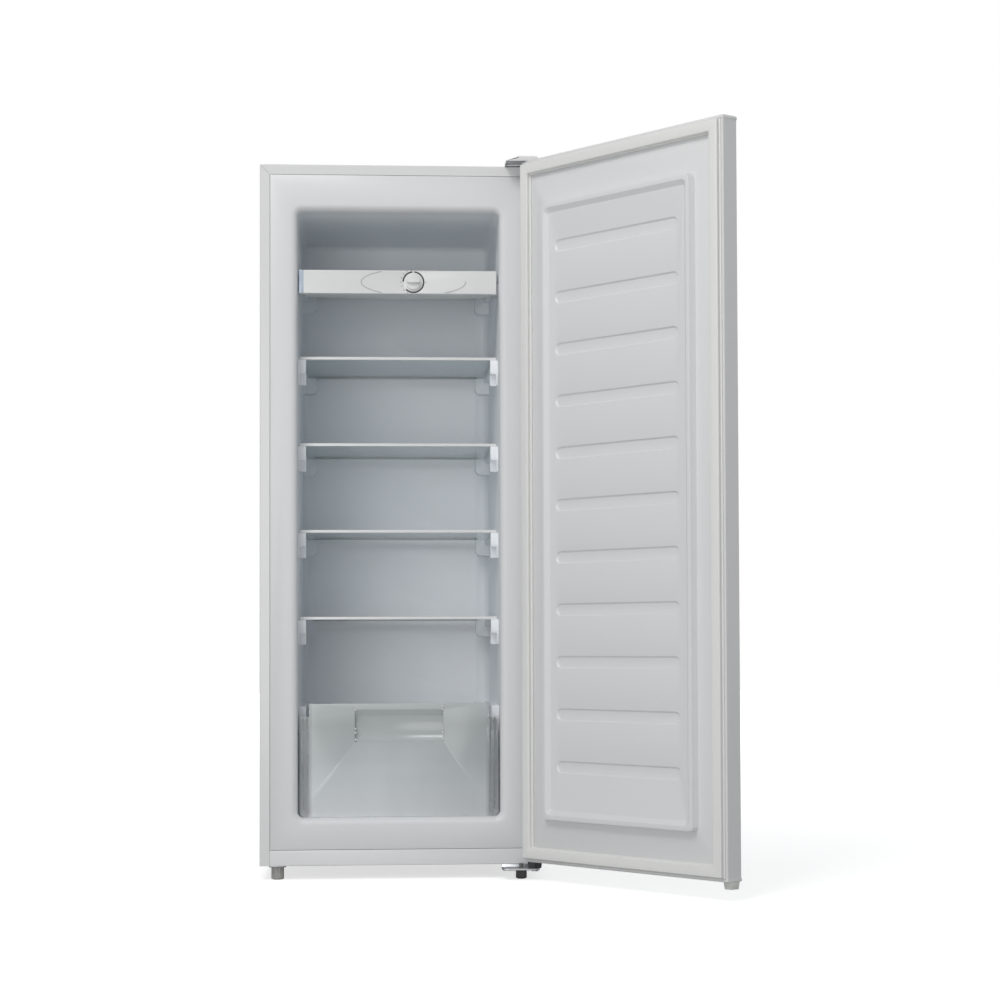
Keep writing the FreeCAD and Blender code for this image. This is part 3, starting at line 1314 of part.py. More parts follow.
def shelf_trim(level, half, y_open, y_closed):
    """A channel clipped over the glass edge; it opens towards y_open."""
    low = level - TRIM_HEIGHT / 2
    high = level + TRIM_HEIGHT / 2
    y0, y1 = min(y_open, y_closed), max(y_open, y_closed)
    outside = box(-half, half, y0, y1, low, high)
    outside = fillet(outside, TRIM_EDGE, lambda p: near(p.y, y_closed) and abs(p.x) < half + 1)
    wall = TRIM_WALL if y_closed < y_open else -TRIM_WALL
    a, b = sorted((y_closed + wall, y_open + (1 if wall > 0 else -1)))
    slot = box(-half - 1, half + 1, a, b, low + TRIM_WALL, high - TRIM_WALL)
    return outside.cut(slot)


def shelf(index):
    level = shelf_level(index)
    name = "shelf_%d" % (index + 1)
    front = SHELF_FRONT
    rear = shelf_rear()
    add(name + "_glass", shelf_glass(level))
    add(name + "_front_trim", shelf_trim(level, shelf_half(), front + TRIM_DEPTH, front))
    add(name + "_rear_trim", shelf_trim(level, shelf_half() - REAR_TRIM_INSET, rear - TRIM_DEPTH, rear))


# ---- drawer ----
def drawer_front():
    half = CAVITY_HALF - DRAWER_SIDE_GAP
    low = CAVITY_BOTTOM + DRAWER_FLOOR_GAP
    y0 = DRAWER_FRONT_PLACE
    y1 = y0 + DRAWER_PANEL
    panel = box(-half, half, y0, y1, low, DRAWER_TOP)
    panel = fillet(panel, CAVITY_CORNER, lambda p: near(p.z, low) and near(abs(p.x), half))
    notch_x = half - DRAWER_NOTCH_WIDTH
    notch_z = DRAWER_TOP - DRAWER_NOTCH_HEIGHT
    notches = [box(notch_x, half + 1, y0 - 1, y1 + 1, notch_z, DRAWER_TOP + 1)]
    notches.append(mirrored(notches[0]))
    grip_low = DRAWER_TOP - GRIP_HEIGHT
    grip_high = DRAWER_TOP - GRIP_TOP_GAP
    window = box(-GRIP_HALF_WIDTH, GRIP_HALF_WIDTH, y0 - 1, y1 + 1, grip_low, grip_high)
    panel = panel.cut(notches + [window])
    wall = GRIP_WALL
    wide = GRIP_HALF_WIDTH + wall
    pan = box(-wide, wide, y0, y0 + GRIP_DEPTH, grip_low - wall, DRAWER_TOP)
    inner = y0 + GRIP_DEPTH - wall
    room = [(y0 - 1, grip_low), (y1, grip_low), (inner, grip_low + GRIP_FLOOR_RISE),
            (inner, DRAWER_TOP - GRIP_ROOF_DROP), (y1, grip_high), (y0 - 1, grip_high)]
    hollow = prism_x(room, -GRIP_HALF_WIDTH, GRIP_HALF_WIDTH)
    rear = y0 + GRIP_DEPTH
    bend = grip_low + GRIP_FLOOR_RISE - wall
    behind = [(y1 + 1, grip_low - wall - 1), (rear + 1, grip_low - wall - 1), (rear + 1, bend), (rear, bend)]
    pan = pan.cut([hollow, prism_x(behind, -wide - 1, wide + 1)])
    lip_half = half - DRAWER_NOTCH_WIDTH
    lip = box(-lip_half, lip_half, y0, y0 + DRAWER_LIP, DRAWER_TOP - DRAWER_LIP_HEIGHT, DRAWER_TOP)
    return panel.fuse([pan, lip]).removeSplitter()


def drawer_bin():
    """A thin open bin with drafted walls, lofted from its floor to its rim."""
    y0 = DRAWER_FRONT_PLACE + GRIP_DEPTH + REST_GAP
    y1 = STEP_DEPTH - DRAWER_BIN_REAR_GAP
    low = CAVITY_BOTTOM + DRAWER_FLOOR_GAP
    high = DRAWER_TOP - DRAWER_NOTCH_HEIGHT - 4

    def plan(grow, z):
        share = (z - low) / (high - low)
        half = DRAWER_BIN_HALF_WIDTH - DRAWER_BIN_DRAFT * (1 - share) + grow
        radius = DRAWER_BIN_CORNER + grow
        front = y0 - grow + DRAWER_BIN_DRAFT / 2 * (1 - share)
        back = y1 + grow - DRAWER_BIN_DRAFT * (1 - share)
        return [Vector(p.x, p.z, z) for p in soft_ring(-half, half, front, back, radius, 0)]

    outside = skin([plan(0, low), plan(0, high)])
    wall = DRAWER_BIN_WALL
    inside = skin([plan(-wall, low + wall), plan(-wall, high + 1)])
    bin_shape = outside.cut(inside)
    rim_low = high - wall
    rim = skin([plan(DRAWER_RIM, rim_low), plan(DRAWER_RIM, high)]).cut(inside)
    front_cut = box(-HALF, HALF, 0, y0, 0, BODY_TOP)
    return bin_shape.fuse(rim).removeSplitter().cut(front_cut)


# ---- door, drawn closed ----
def door_slab(y):
    return box(-HALF, HALF, DOOR_FACE_Y, y, DOOR_BOTTOM, DOOR_TOP)


def plinth_block(inset, y0, outline, corner):
    """The plinth standing up from the flange, drawn in by an inset, with drafted sides."""
    d = PLINTH_DRAFT
    return taper(
        (-PLINTH_LEFT - d + inset, PLINTH_RIGHT + d - inset, PLINTH_BOTTOM - d + inset,
         PLINTH_TOP + d - inset, corner + d, y0),
        (-PLINTH_LEFT + inset, PLINTH_RIGHT - inset, PLINTH_BOTTOM + inset, PLINTH_TOP - inset,
         corner, FLANGE_Y + PLINTH_HEIGHT - inset), outline)


def plinth_recess(inset, outline, corner):
    """The shallow tray inside the plinth's rim, grown outwards by an inset."""
    edge = RIM_WIDTH - inset
    over = 1.0
    out = RIM_SLOPE * over / RECESS_DEPTH
    top_y = FLANGE_Y + PLINTH_HEIGHT - inset
    x0 = -PLINTH_LEFT + edge
    x1 = PLINTH_RIGHT - edge
    z0 = PLINTH_BOTTOM + edge
    z1 = PLINTH_TOP - edge
    return taper(
        (x0 - out, x1 + out, z0 - out, z1 + out, corner + RIM_SLOPE / 2, top_y + over),
        (x0 + RIM_SLOPE, x1 - RIM_SLOPE, z0 + RIM_SLOPE, z1 - RIM_SLOPE, corner, top_y - RECESS_DEPTH),
        outline)


def groove_middle(index):
    return PLINTH_TOP - FIRST_GROOVE_DROP - index * GROOVE_PITCH


def groove(index):
    """One stadium-shaped groove across the recessed panel, with sloped sides."""
    z = groove_middle(index)
    floor_y = FLANGE_Y + PLINTH_HEIGHT - RECESS_DEPTH
    middle = (PLINTH_RIGHT - PLINTH_LEFT) / 2
    half = GROOVE_LENGTH / 2
    high = GROOVE_HEIGHT / 2
    slope = GROOVE_SLOPE
    lift = 0.5
    out = slope * lift / GROOVE_DEPTH
    flat = 0.05
    return soft_taper(
        (middle - half - out, middle + half + out, z - high - out, z + high + out, high + out - flat,
         floor_y + lift),
        (middle - half + slope, middle + half - slope, z - high + slope, z + high - slope,
         high - slope - flat, floor_y - GROOVE_DEPTH),
    )


def groove_trough(index):
    """The plain trough in the foam behind one groove."""
    z = groove_middle(index)
    floor_y = FLANGE_Y + PLINTH_HEIGHT - RECESS_DEPTH - LINER_WALL
    middle = (PLINTH_RIGHT - PLINTH_LEFT) / 2
    half = GROOVE_LENGTH / 2 + LINER_WALL
    high = GROOVE_HEIGHT / 2 + LINER_WALL
    return box(middle - half, middle + half, floor_y - GROOVE_DEPTH, floor_y + 1, z - high, z + high)


def door_visible():
    """The door's inner side as seen: flange, rimmed plinth and grooves."""
    plinth = plinth_block(0, FLANGE_Y - 1, rounded_wire, PLINTH_CORNER)
    form = door_slab(FLANGE_Y).fuse(plinth).removeSplitter()
    tray = plinth_recess(0, rounded_wire, PLINTH_CORNER - 4)
    return form.cut([tray] + [groove(n) for n in range(GROOVE_COUNT)])


def door_core():
    """The same side one liner wall further in, plainly cut where nothing shows."""
    y = FLANGE_Y - LINER_WALL
    corner = 0.7 * (PLINTH_CORNER + PLINTH_DRAFT)
    form = door_slab(y).fuse(plinth_block(LINER_WALL, y - 1, cut_wire, corner)).removeSplitter()
    tray = plinth_recess(LINER_WALL, cut_wire, 2.0)
    return form.cut([tray] + [groove_trough(n) for n in range(GROOVE_COUNT)])


def door_liner():
    half = HALF - DOOR_SKIN_RETURN - REST_GAP
    keep = box(-half, half, FLANGE_Y - LINER_WALL - GROOVE_DEPTH, 50, DOOR_BOTTOM + CAP_LIP,
               DOOR_TOP - CAP_HEIGHT - REST_GAP)
    return door_visible().cut(door_core()).common(keep)


def door_foam():
    half = HALF - SHEET
    room = box(-half, half, DOOR_FACE_Y + SHEET, 50, DOOR_BOTTOM + CAP_HEIGHT, DOOR_TOP - CAP_HEIGHT)
    flat = 0.7 * DOOR_EDGE_RADIUS
    corners = [e for e in room.Edges if near(e.CenterOfMass.y, DOOR_FACE_Y + SHEET)
               and near(abs(e.CenterOfMass.x), half)]
    foam = door_core().common(room.makeChamfer(flat, corners))
    edge = HALF - DOOR_SKIN_RETURN - REST_GAP
    lips = [box(-HALF, HALF, FLANGE_Y - LINER_WALL - REST_GAP, 0, DOOR_BOTTOM, DOOR_BOTTOM + CAP_LIP),
            box(-HALF, -edge, FLANGE_Y - LINER_WALL - REST_GAP, 0, DOOR_BOTTOM, DOOR_TOP),
            box(edge, HALF, FLANGE_Y - LINER_WALL - REST_GAP, 0, DOOR_BOTTOM, DOOR_TOP)]
    bushes = [bush_room(DOOR_BOTTOM, 1), bush_room(DOOR_BOTTOM, -1), bush_room(DOOR_TOP, 1)]
    pocket = pocket_block(REST_GAP, DOOR_FACE_Y - 1)
    return foam.cut(lips + bushes + [pocket])


def bush_room(z, side):
    """Room in the foam round a hinge bush's sleeve."""
    x = side * HINGE_X
    r = PIN_RADIUS + BUSH_WALL + REST_GAP
    return facet_rod(r, (x, HINGE_Y, z - 30), (x, HINGE_Y, z + 30))


def pocket_block(grow, y0):
    x = -HALF + POCKET_INSET
    half = POCKET_WIDTH / 2 + grow
    high = POCKET_HEIGHT / 2 + grow
    return soft_block(x - half, x + half, POCKET_CENTRE - high, POCKET_CENTRE + high, POCKET_CORNER + grow,
                      y0, DOOR_FACE_Y + POCKET_DEPTH + grow)


def handle_pocket():
    """The moulded cup that fingers reach into, set in the door's outer face."""
    x = -HALF + POCKET_INSET
    cup = pocket_block(0, DOOR_FACE_Y - 1)
    half = POCKET_WIDTH / 2 + POCKET_LIP
    high = POCKET_HEIGHT / 2 + POCKET_LIP
    corner = POCKET_CORNER + POCKET_LIP
    lip = soft_block(x - half, x + half, POCKET_CENTRE - high, POCKET_CENTRE + high, corner,
                     DOOR_FACE_Y - POCKET_LIP_HEIGHT - RUNNING_FIT, DOOR_FACE_Y - RUNNING_FIT)
    w = POCKET_WALL
    inner_half = POCKET_WIDTH / 2 - w
    inner_high = POCKET_HEIGHT / 2 - w
    room = soft_block(x - inner_half, x + inner_half, POCKET_CENTRE - inner_high, POCKET_CENTRE + inner_high,
                      POCKET_CORNER - w, DOOR_FACE_Y - POCKET_LIP, DOOR_FACE_Y + POCKET_DEPTH - w)
    return cup.fuse(lip).removeSplitter().cut(room)


def door_skin():
    """The door's steel pan: outer face, two sides and their returns at the inner face."""
    low = DOOR_BOTTOM + CAP_HEIGHT
    high = DOOR_TOP - CAP_HEIGHT
    outside = box(-HALF, HALF, DOOR_FACE_Y, FLANGE_Y, low, high)
    outside = fillet(outside, DOOR_EDGE_RADIUS, lambda p: near(p.y, DOOR_FACE_Y) and near(abs(p.x), HALF))
    half = HALF - SHEET
    inside = box(-half, half, DOOR_FACE_Y + SHEET, FLANGE_Y - SHEET, low - 1, high + 1)
    flat = 0.6 * DOOR_EDGE_RADIUS
    corners = [e for e in inside.Edges if near(e.CenterOfMass.y, DOOR_FACE_Y + SHEET)
               and near(abs(e.CenterOfMass.x), half)]
    inside = inside.makeChamfer(flat, corners)
    edge = HALF - DOOR_SKIN_RETURN
    mouth = box(-edge, edge, FLANGE_Y - 3, FLANGE_Y + 1, low - 1, high + 1)
    pocket = pocket_block(REST_GAP, DOOR_FACE_Y - 1)
    return outside.cut([inside, mouth, pocket])


def door_cap(bottom):
    """A moulded end cap with a lip that runs down inside the door's inner edge."""
    z0 = DOOR_BOTTOM if bottom else DOOR_TOP - CAP_HEIGHT
    z1 = z0 + CAP_HEIGHT
    grow = 0.8
    plate = box(-HALF - grow, HALF + grow, DOOR_FACE_Y - grow, FLANGE_Y + grow, z0, z1)
    outer_z = z0 if bottom else z1
    plate = fillet(plate, 3, lambda p: near(p.y, DOOR_FACE_Y - grow) and near(abs(p.x), HALF + grow))
    rim = [e for e in plate.Edges if all(near(v.Point.z, outer_z) for v in e.Vertexes)]
    plate = plate.makeChamfer(1.2, rim)
    sleeves = []
    for side in (1, -1):
        x = side * HINGE_X
        radius = PIN_RADIUS + BUSH_WALL + REST_GAP / 2
        sleeves.append(facet_rod(radius, (x, HINGE_Y, z0 - 1), (x, HINGE_Y, z1 + 1)))
    return plate.cut(sleeves if bottom else sleeves[:1])


def door_bush(z, side, bottom):
    """A plain bearing bush: a sleeve in the cap with a square block outside it."""
    x = side * HINGE_X
    deep = PIN_ENGAGEMENT + 2
    r = PIN_RADIUS + BUSH_WALL
    if bottom:
        sleeve = facet_rod(r, (x, HINGE_Y, z - 1), (x, HINGE_Y, z + deep))
        block_low = FOOT_HEIGHT - BRACKET_DROP + BUSH_TOP_GAP
        half = PIN_INSET + REST_GAP
        block = taper_down(x, half, BUSH_DEPTH / 2, block_low, z - REST_GAP / 2)
        bush = sleeve.fuse(block)
        bore = rod(PIN_RADIUS + RUNNING_FIT, (x, HINGE_Y, block_low - 1), (x, HINGE_Y, z + deep - 2))
    else:
        bush = facet_rod(r, (x, HINGE_Y, z - deep), (x, HINGE_Y, z))
        bore = rod(PIN_RADIUS + RUNNING_FIT, (x, HINGE_Y, z - deep + 1), (x, HINGE_Y, z + 1))
    return bush.removeSplitter().cut(bore)


def taper_down(x, half_x, half_y, z0, z1):
    """A block that narrows downwards."""
    def level(z, cut):
        a, b = half_x - cut, half_y - cut
        return [Vector(x + i * a, HINGE_Y + j * b, z) for i, j in ((-1, -1), (1, -1), (1, 1), (-1, 1))]
    return skin([level(z0, BUSH_DRAFT), level(z1, 0)])


def frame_ring(inset, width, y0, y1):
    """A rectangular ring round the door's inner face."""
    x1 = HALF - inset
    z0 = DOOR_BOTTOM + CAP_LIP + inset - GASKET_EDGE + REST_GAP
    z1 = DOOR_TOP - CAP_HEIGHT - inset + GASKET_EDGE - REST_GAP
    outside = box(-x1, x1, y0, y1, z0, z1)
    return outside.cut(box(-x1 + width, x1 - width, y0 - 1, y1 + 1, z0 + width, z1 - width))


def door_gasket():
    """The magnetic seal: a base strip, a narrower folding neck and the magnet's wide head."""
    y0 = FLANGE_Y + GASKET_SEAT_GAP
    y1 = y0 + GASKET_BASE_HEIGHT
    y2 = y1 + GASKET_NECK_HEIGHT
    y3 = FLANGE_Y + GASKET_HEIGHT
    base = frame_ring(GASKET_EDGE + 2, GASKET_WIDTH - 4, y0, y1)
    neck = frame_ring(GASKET_EDGE + GASKET_NECK_INSET, GASKET_WIDTH - 2 * GASKET_NECK_INSET, y1, y2)
    head = frame_ring(GASKET_EDGE, GASKET_WIDTH, y2, y3)
    gasket = base.fuse([neck, head]).removeSplitter()
    return gasket.cut([box(*strip(REST_GAP / 2, *place)) for place in magnet_places()])


def magnet_places():
    """The four magnet strips as (x or z direction, position)."""
    return [("z", 1), ("z", -1), ("x", 1), ("x", -1)]


def strip(grow, along, side):
    y1 = FLANGE_Y + GASKET_HEIGHT - MAGNET_COVER
    y0 = y1 - MAGNET_HEIGHT
    middle = GASKET_EDGE + GASKET_WIDTH / 2
    z_low = DOOR_BOTTOM + CAP_LIP + REST_GAP + GASKET_WIDTH / 2
    z_high = DOOR_TOP - CAP_HEIGHT - REST_GAP - GASKET_WIDTH / 2
    half = MAGNET_WIDTH / 2
    if along == "z":
        x = side * (HALF - middle)
        room = [x - half, x + half, y0, y1, z_low + MAGNET_END_GAP, z_high - MAGNET_END_GAP]
    else:
        z = z_high if side > 0 else z_low
        reach = HALF - middle - MAGNET_END_GAP
        room = [-reach, reach, y0, y1, z - half, z + half]
    return [v - grow if n % 2 == 0 else v + grow for n, v in enumerate(room)]


def swing(shape):
    """Turns a door piece from closed to where the photo shows it."""
    turned_shape = shape.copy()
    turned_shape.rotate(Vector(HINGE_X, HINGE_Y, 0), Vector(0, 0, 1), DOOR_ANGLE)
    return turned_shape


# ---- everything together ----
def cabinet():
    add("outer_wrap", outer_wrap())
    add("back_panel", back_panel())
    add("base_panel", base_panel())
    add("bottom_front_rail", bottom_front_rail())
    add("inner_liner", inner_liner())
    add("cabinet_foam", cabinet_foam())
    add("evaporator_plate", evaporator_plate())
    right_condenser = condenser_tube()
    add("condenser_tubes", right_condenser, mirrored(right_condenser))


def machine_bay():
    add("compressor_base", compressor_base())
    add("compressor", compressor())
    for a, b in grommet_places():
        add("compressor_grommets", grommet(a, b))
        add("compressor_bolts", grommet_bolt(a, b))
    add("terminal_cover", terminal_cover())
    add("filter_drier", filter_drier())
    add("refrigerant_tubes", *refrigerant_tubes())
    add("cord_gland", cord_gland())
    add("rear_feet", rear_foot(1), rear_foot(-1))


def feet():
    x = HALF - FOOT_INSET
    add("left_foot_plate", left_foot_plate())
    low = FOOT_HEIGHT - BRACKET
    foot = front_foot(-x, LEFT_FOOT_PLACE, LEFT_FOOT_RADIUS, low - REST_GAP, low + STUD_REACH)
    add("front_left_foot", foot)
    low = FOOT_HEIGHT - BRACKET_DROP - BRACKET
    foot = front_foot(x, RIGHT_FOOT_PLACE, RIGHT_FOOT_RADIUS, low - REST_GAP, low + STUD_REACH)
    add("front_right_foot", foot)


def hinges():
    add("bottom_hinge_bracket", bottom_bracket())
    add("bottom_hinge_pin", bottom_pin())
    for a, b in bottom_screw_places():
        add("bottom_hinge_screws", bottom_screw(a, b))
    add("top_hinge_bracket", top_bracket())
    add("top_hinge_pin", top_pin())
    for a, b in top_screw_places():
        add("top_hinge_screws", top_screw(a, b))
    add("top_hinge_cover", top_cover())


def controls():
    add("control_housing", control_housing())
    for x, y in housing_screw_places():
        add("control_housing_screws", housing_screw(x, y))
    add("thermostat", thermostat())
    add("sensor_bulb", sensor_bulb())
    add("thermostat_knob", thermostat_knob())


def door():
    for name, shape in (
        ("door_skin", door_skin()), ("door_top_cap", door_cap(False)), ("door_bottom_cap", door_cap(True)),
        ("door_liner", door_liner()), ("door_foam", door_foam()), ("door_gasket", door_gasket()),
        ("handle_pocket", handle_pocket()),
    ):
        add(name, swing(shape))
    for place in magnet_places():
        add("gasket_magnets", swing(box(*strip(0, *place))))
    add("door_top_bush", swing(door_bush(DOOR_TOP, 1, False)))
    add("door_bottom_bush", swing(door_bush(DOOR_BOTTOM, 1, True)))
    add("spare_door_bush", swing(door_bush(DOOR_BOTTOM, -1, True)))


def main():
    cabinet()
    machine_bay()
    feet()
    hinges()
    controls()
    for index in range(SHELF_COUNT):
        shelf(index)
    add("drawer_bin", drawer_bin())
    add("drawer_front", drawer_front())
    door()
    os.makedirs("parts", exist_ok=True)
    everything = Part.makeCompound([s for shapes in PARTS.values() for s in shapes])
    bounds = everything.BoundBox
    shift = Vector(-bounds.Center.x, -bounds.Center.y, -bounds.ZMin)
    print("shift to the origin", [round(v, 3) for v in shift])
    for name, shapes in PARTS.items():
        solids = [solid for shape in shapes for solid in shape.Solids]
        whole = solids[0] if len(solids) == 1 else Part.makeCompound(solids)
        whole.translate(shift)
        whole.exportStep("parts/%s.step" % name)
        state = "valid" if whole.isValid() else "BROKEN"
        print(name, len(solids), state, round(sum(s.Volume for s in solids) / 1000, 2))
    print(len(PARTS), "nodes")


main()
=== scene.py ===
# %% [markdown]
# # Dressing an upright freezer
# The engineering model gives every rigid piece its true size and place. This lesson puts it in a
# plain studio, gives each piece the finish of the real material, and models anew what needs softer
# or finer forms than the engineering solids have: the door seal, the dial, the hinge cover and the
# ribs of the clear drawer. Moulded and formed pieces keep their shape and get rounded edges.
#
# Blender works in metres, in the engineering model's own frame.

# %% Load the engineering model and note its box
import json
import math

import bmesh
import bpy
from mathutils import Matrix, Vector


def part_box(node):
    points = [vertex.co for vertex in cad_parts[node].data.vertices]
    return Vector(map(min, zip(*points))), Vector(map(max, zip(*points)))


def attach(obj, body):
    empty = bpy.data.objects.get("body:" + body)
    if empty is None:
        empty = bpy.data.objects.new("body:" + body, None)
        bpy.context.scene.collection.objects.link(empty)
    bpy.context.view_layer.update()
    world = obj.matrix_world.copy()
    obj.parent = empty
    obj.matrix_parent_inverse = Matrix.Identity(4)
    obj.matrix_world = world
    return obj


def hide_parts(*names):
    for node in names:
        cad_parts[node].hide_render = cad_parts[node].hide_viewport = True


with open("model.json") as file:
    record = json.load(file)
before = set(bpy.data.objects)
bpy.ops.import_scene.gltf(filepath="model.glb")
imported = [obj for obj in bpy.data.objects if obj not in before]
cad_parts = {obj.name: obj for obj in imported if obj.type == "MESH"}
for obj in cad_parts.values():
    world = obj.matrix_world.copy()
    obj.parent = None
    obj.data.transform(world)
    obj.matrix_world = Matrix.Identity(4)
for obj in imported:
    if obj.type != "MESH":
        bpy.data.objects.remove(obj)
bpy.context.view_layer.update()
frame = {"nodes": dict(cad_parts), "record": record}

# %% [markdown]
# ## A measuring frame on the cabinet
# A cabinet maker measures from the cabinet itself. `at` turns millimetres to the right of the
# cabinet's middle, back from its front frame and up from the floor into a point of the model, so
# every later size can be read like a tape measure.

# %% Millimetres on the cabinet
MM = 0.001
shell_low, shell_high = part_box("outer_wrap")
MIDDLE_X = (shell_low.x + shell_high.x) / 2
FRONT_Y = shell_low.y
HALF_WIDTH = (shell_high.x - shell_low.x) / 2 / MM
BODY_TOP = shell_high.z / MM


def at(x, y, z):
    return Vector((MIDDLE_X + x * MM, FRONT_Y + y * MM, z * MM))


def across_of(node):
    """A node's lowest and highest corner in millimetres on the cabinet."""
    low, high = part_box(node)
    return [((p.x - MIDDLE_X) / MM, (p.y - FRONT_Y) / MM, p.z / MM) for p in (low, high)]


print("cabinet half width", round(HALF_WIDTH, 2), "mm, top at", round(BODY_TOP, 1), "mm")

# %% [markdown]
# ## The camera
# The camera stands low, a good four and a half metres in front and a little to the left, and turns
# slightly to the right. Its lens and place were worked out from the cabinet's corners, so that the
# upright edges and the open door line up. Only a small shift frames the object.

# %% Camera
CAMERA_AT = (-63.81, -4605.25, 471.59)
CAMERA_YAW = -0.0674
CAMERA_PITCH = 0.0345
CAMERA_ROLL = -0.0035


def aimed_camera():
    yaw, pitch, roll = CAMERA_YAW, CAMERA_PITCH, CAMERA_ROLL
    ahead = Vector((-math.sin(yaw) * math.cos(pitch), math.cos(yaw) * math.cos(pitch), math.sin(pitch)))
    right = Vector((math.cos(yaw), math.sin(yaw), 0))
    up = right.cross(ahead)
    side = right * math.cos(roll) + up * math.sin(roll)
    top = up * math.cos(roll) - right * math.sin(roll)
    turn = Matrix((side, top, -ahead)).transposed()
    return Matrix.Translation(at(*CAMERA_AT)) @ turn.to_4x4()


lens_data = bpy.data.cameras.new("camera")
lens_data.sensor_width = 36.0
lens_data.lens = 82.961
lens_data.shift_x = -0.02249
lens_data.shift_y = 0.06178
lens_data.clip_end = 60
camera = bpy.data.objects.new("camera", lens_data)
camera.matrix_world = aimed_camera()
bpy.context.scene.collection.objects.link(camera)
bpy.context.scene.camera = camera
bpy.context.scene.view_settings.view_transform = "Standard"
print("camera at", [round(v, 3) for v in camera.location], "lens", lens_data.lens)

# %% [markdown]
# ## Shader sums written as Python
# A finish is a small graph of nodes. Wiring each sum by hand hides what it means, so `Field` wraps a
# socket and lets Python's own signs add the Math nodes. `Finish.node` adds any other node: its kind,
# its settings, then what its sockets hold.

# %% Field and Finish


class Field:
    """A value that changes over a surface; sums and products of it add Math nodes."""

    def __init__(self, finish, socket):
        self.finish = finish
        self.socket = socket

    def reckon(self, operation, *terms):
        sockets = {n: term for n, term in enumerate(terms)}
        return self.finish.node("ShaderNodeMath", {"operation": operation}, sockets)

    def __add__(self, other):
        return self.reckon("ADD", self, other)

    def __radd__(self, other):
        return self.reckon("ADD", other, self)

    def __sub__(self, other):
        return self.reckon("SUBTRACT", self, other)

    def __rsub__(self, other):
        return self.reckon("SUBTRACT", other, self)

    def __mul__(self, other):
        return self.reckon("MULTIPLY", self, other)

    def __rmul__(self, other):
        return self.reckon("MULTIPLY", other, self)

    def __truediv__(self, other):
        return self.reckon("DIVIDE", self, other)

    def at_most(self, limit):
        return self.reckon("MINIMUM", self, limit)

    def at_least(self, limit):
        return self.reckon("MAXIMUM", self, limit)


class Finish:
    """One surface finish in the making."""

    def __init__(self, name):
        self.material = bpy.data.materials.new(name)
        self.material.use_nodes = True
        self.tree = self.material.node_tree
        self.tree.nodes.clear()

    def node(self, kind, settings=None, sockets=None, output=0):
        made = self.tree.nodes.new(kind)
        for name, value in (settings or {}).items():
            if name == "ramp":
                self.set_ramp(made.color_ramp, value)
            else:
                setattr(made, name, value)
        for key, value in (sockets or {}).items():
            if isinstance(value, Field):
                self.tree.links.new(value.socket, made.inputs[key])
            else:
                made.inputs[key].default_value = value
        return Field(self, made.outputs[output])

    def set_ramp(self, ramp, stops):
        while len(ramp.elements) < len(stops):
            ramp.elements.new(1.0)
        for element, (place, colour) in zip(ramp.elements, stops):
            element.position = place
            element.color = colour

    def place(self, stretch=(1, 1, 1)):
        """The surface point in metres, stretched to draw out a pattern."""
        point = self.node("ShaderNodeTexCoord", output=3)
        return self.node("ShaderNodeMapping", {}, {"Vector": point, "Scale": stretch})

    def speckle(self, scale, detail=2.0, stretch=(1, 1, 1), rough=0.5):
        """A soft random pattern around one half."""
        return self.node("ShaderNodeTexNoise", {}, {
            "Vector": self.place(stretch), "Scale": scale, "Detail": detail, "Roughness": rough})

    def blend(self, share, first, second):
        """A colour between two, by a share."""
        return self.node("ShaderNodeMix", {"data_type": "RGBA"}, {0: share, 6: first, 7: second}, 2)

    def raised(self, height, depth, strength=1.0):
        return self.node("ShaderNodeBump", {}, {"Height": height, "Distance": depth, "Strength": strength})

    def surface(self, **sockets):
        """Closes the finish with a Principled shader; underscores stand for spaces."""
        named = {key.replace("_", " "): value for key, value in sockets.items()}
        shader = self.node("ShaderNodeBsdfPrincipled", {}, named)
        self.node_output(shader)
        return self.material

    def node_output(self, shader):
        end = self.tree.nodes.new("ShaderNodeOutputMaterial")
        self.tree.links.new(shader.socket, end.inputs["Surface"])


def shade(red, green, blue):
    """A colour as read from a screen, 0 to 255, made linear for the shader."""
    def linear(value):
        value = value / 255
        return value / 12.92 if value <= 0.04045 else ((value + 0.055) / 1.055) ** 2.4
    return (linear(red), linear(green), linear(blue), 1.0)


print("shader helpers ready")

# %% [markdown]
# ## Studio: light, floor and background
# White goods are photographed in a large soft light. Here one soft lamp stands in front on the left
# and a second one high above it, with an even, slightly cool light from all round. The background is
# white because camera rays that miss everything see white, not because more light is used. The floor
# is pale and keeps a faint shadow.

# %% Lamps, world and floor
AIM = (60, 0, 700)
FRONT_AT = (-1200, -4600, 650)
FRONT_POWER = 42
KEY_AT = (-1500, -3400, 4300)
KEY_POWER = 92
FILL = 0.32
FLOOR_GLOW = 0.66


def soft_lamp(name, place, target, size, power, tint):
    data = bpy.data.lights.new(name, "AREA")
    data.shape = "RECTANGLE"
    data.size, data.size_y = size
    data.energy = power
    data.color = tint
    lamp = bpy.data.objects.new(name, data)
    lamp.location = at(*place)
    lamp.rotation_euler = (at(*target) - lamp.location).to_track_quat("-Z", "Y").to_euler()
    bpy.context.scene.collection.objects.link(lamp)
    return lamp


soft_lamp("front_softbox", FRONT_AT, AIM, (2.0, 2.0), FRONT_POWER, (1.0, 0.995, 0.985))
soft_lamp("key_softbox", KEY_AT, AIM, (1.8, 1.8), KEY_POWER, (1.0, 0.99, 0.975))


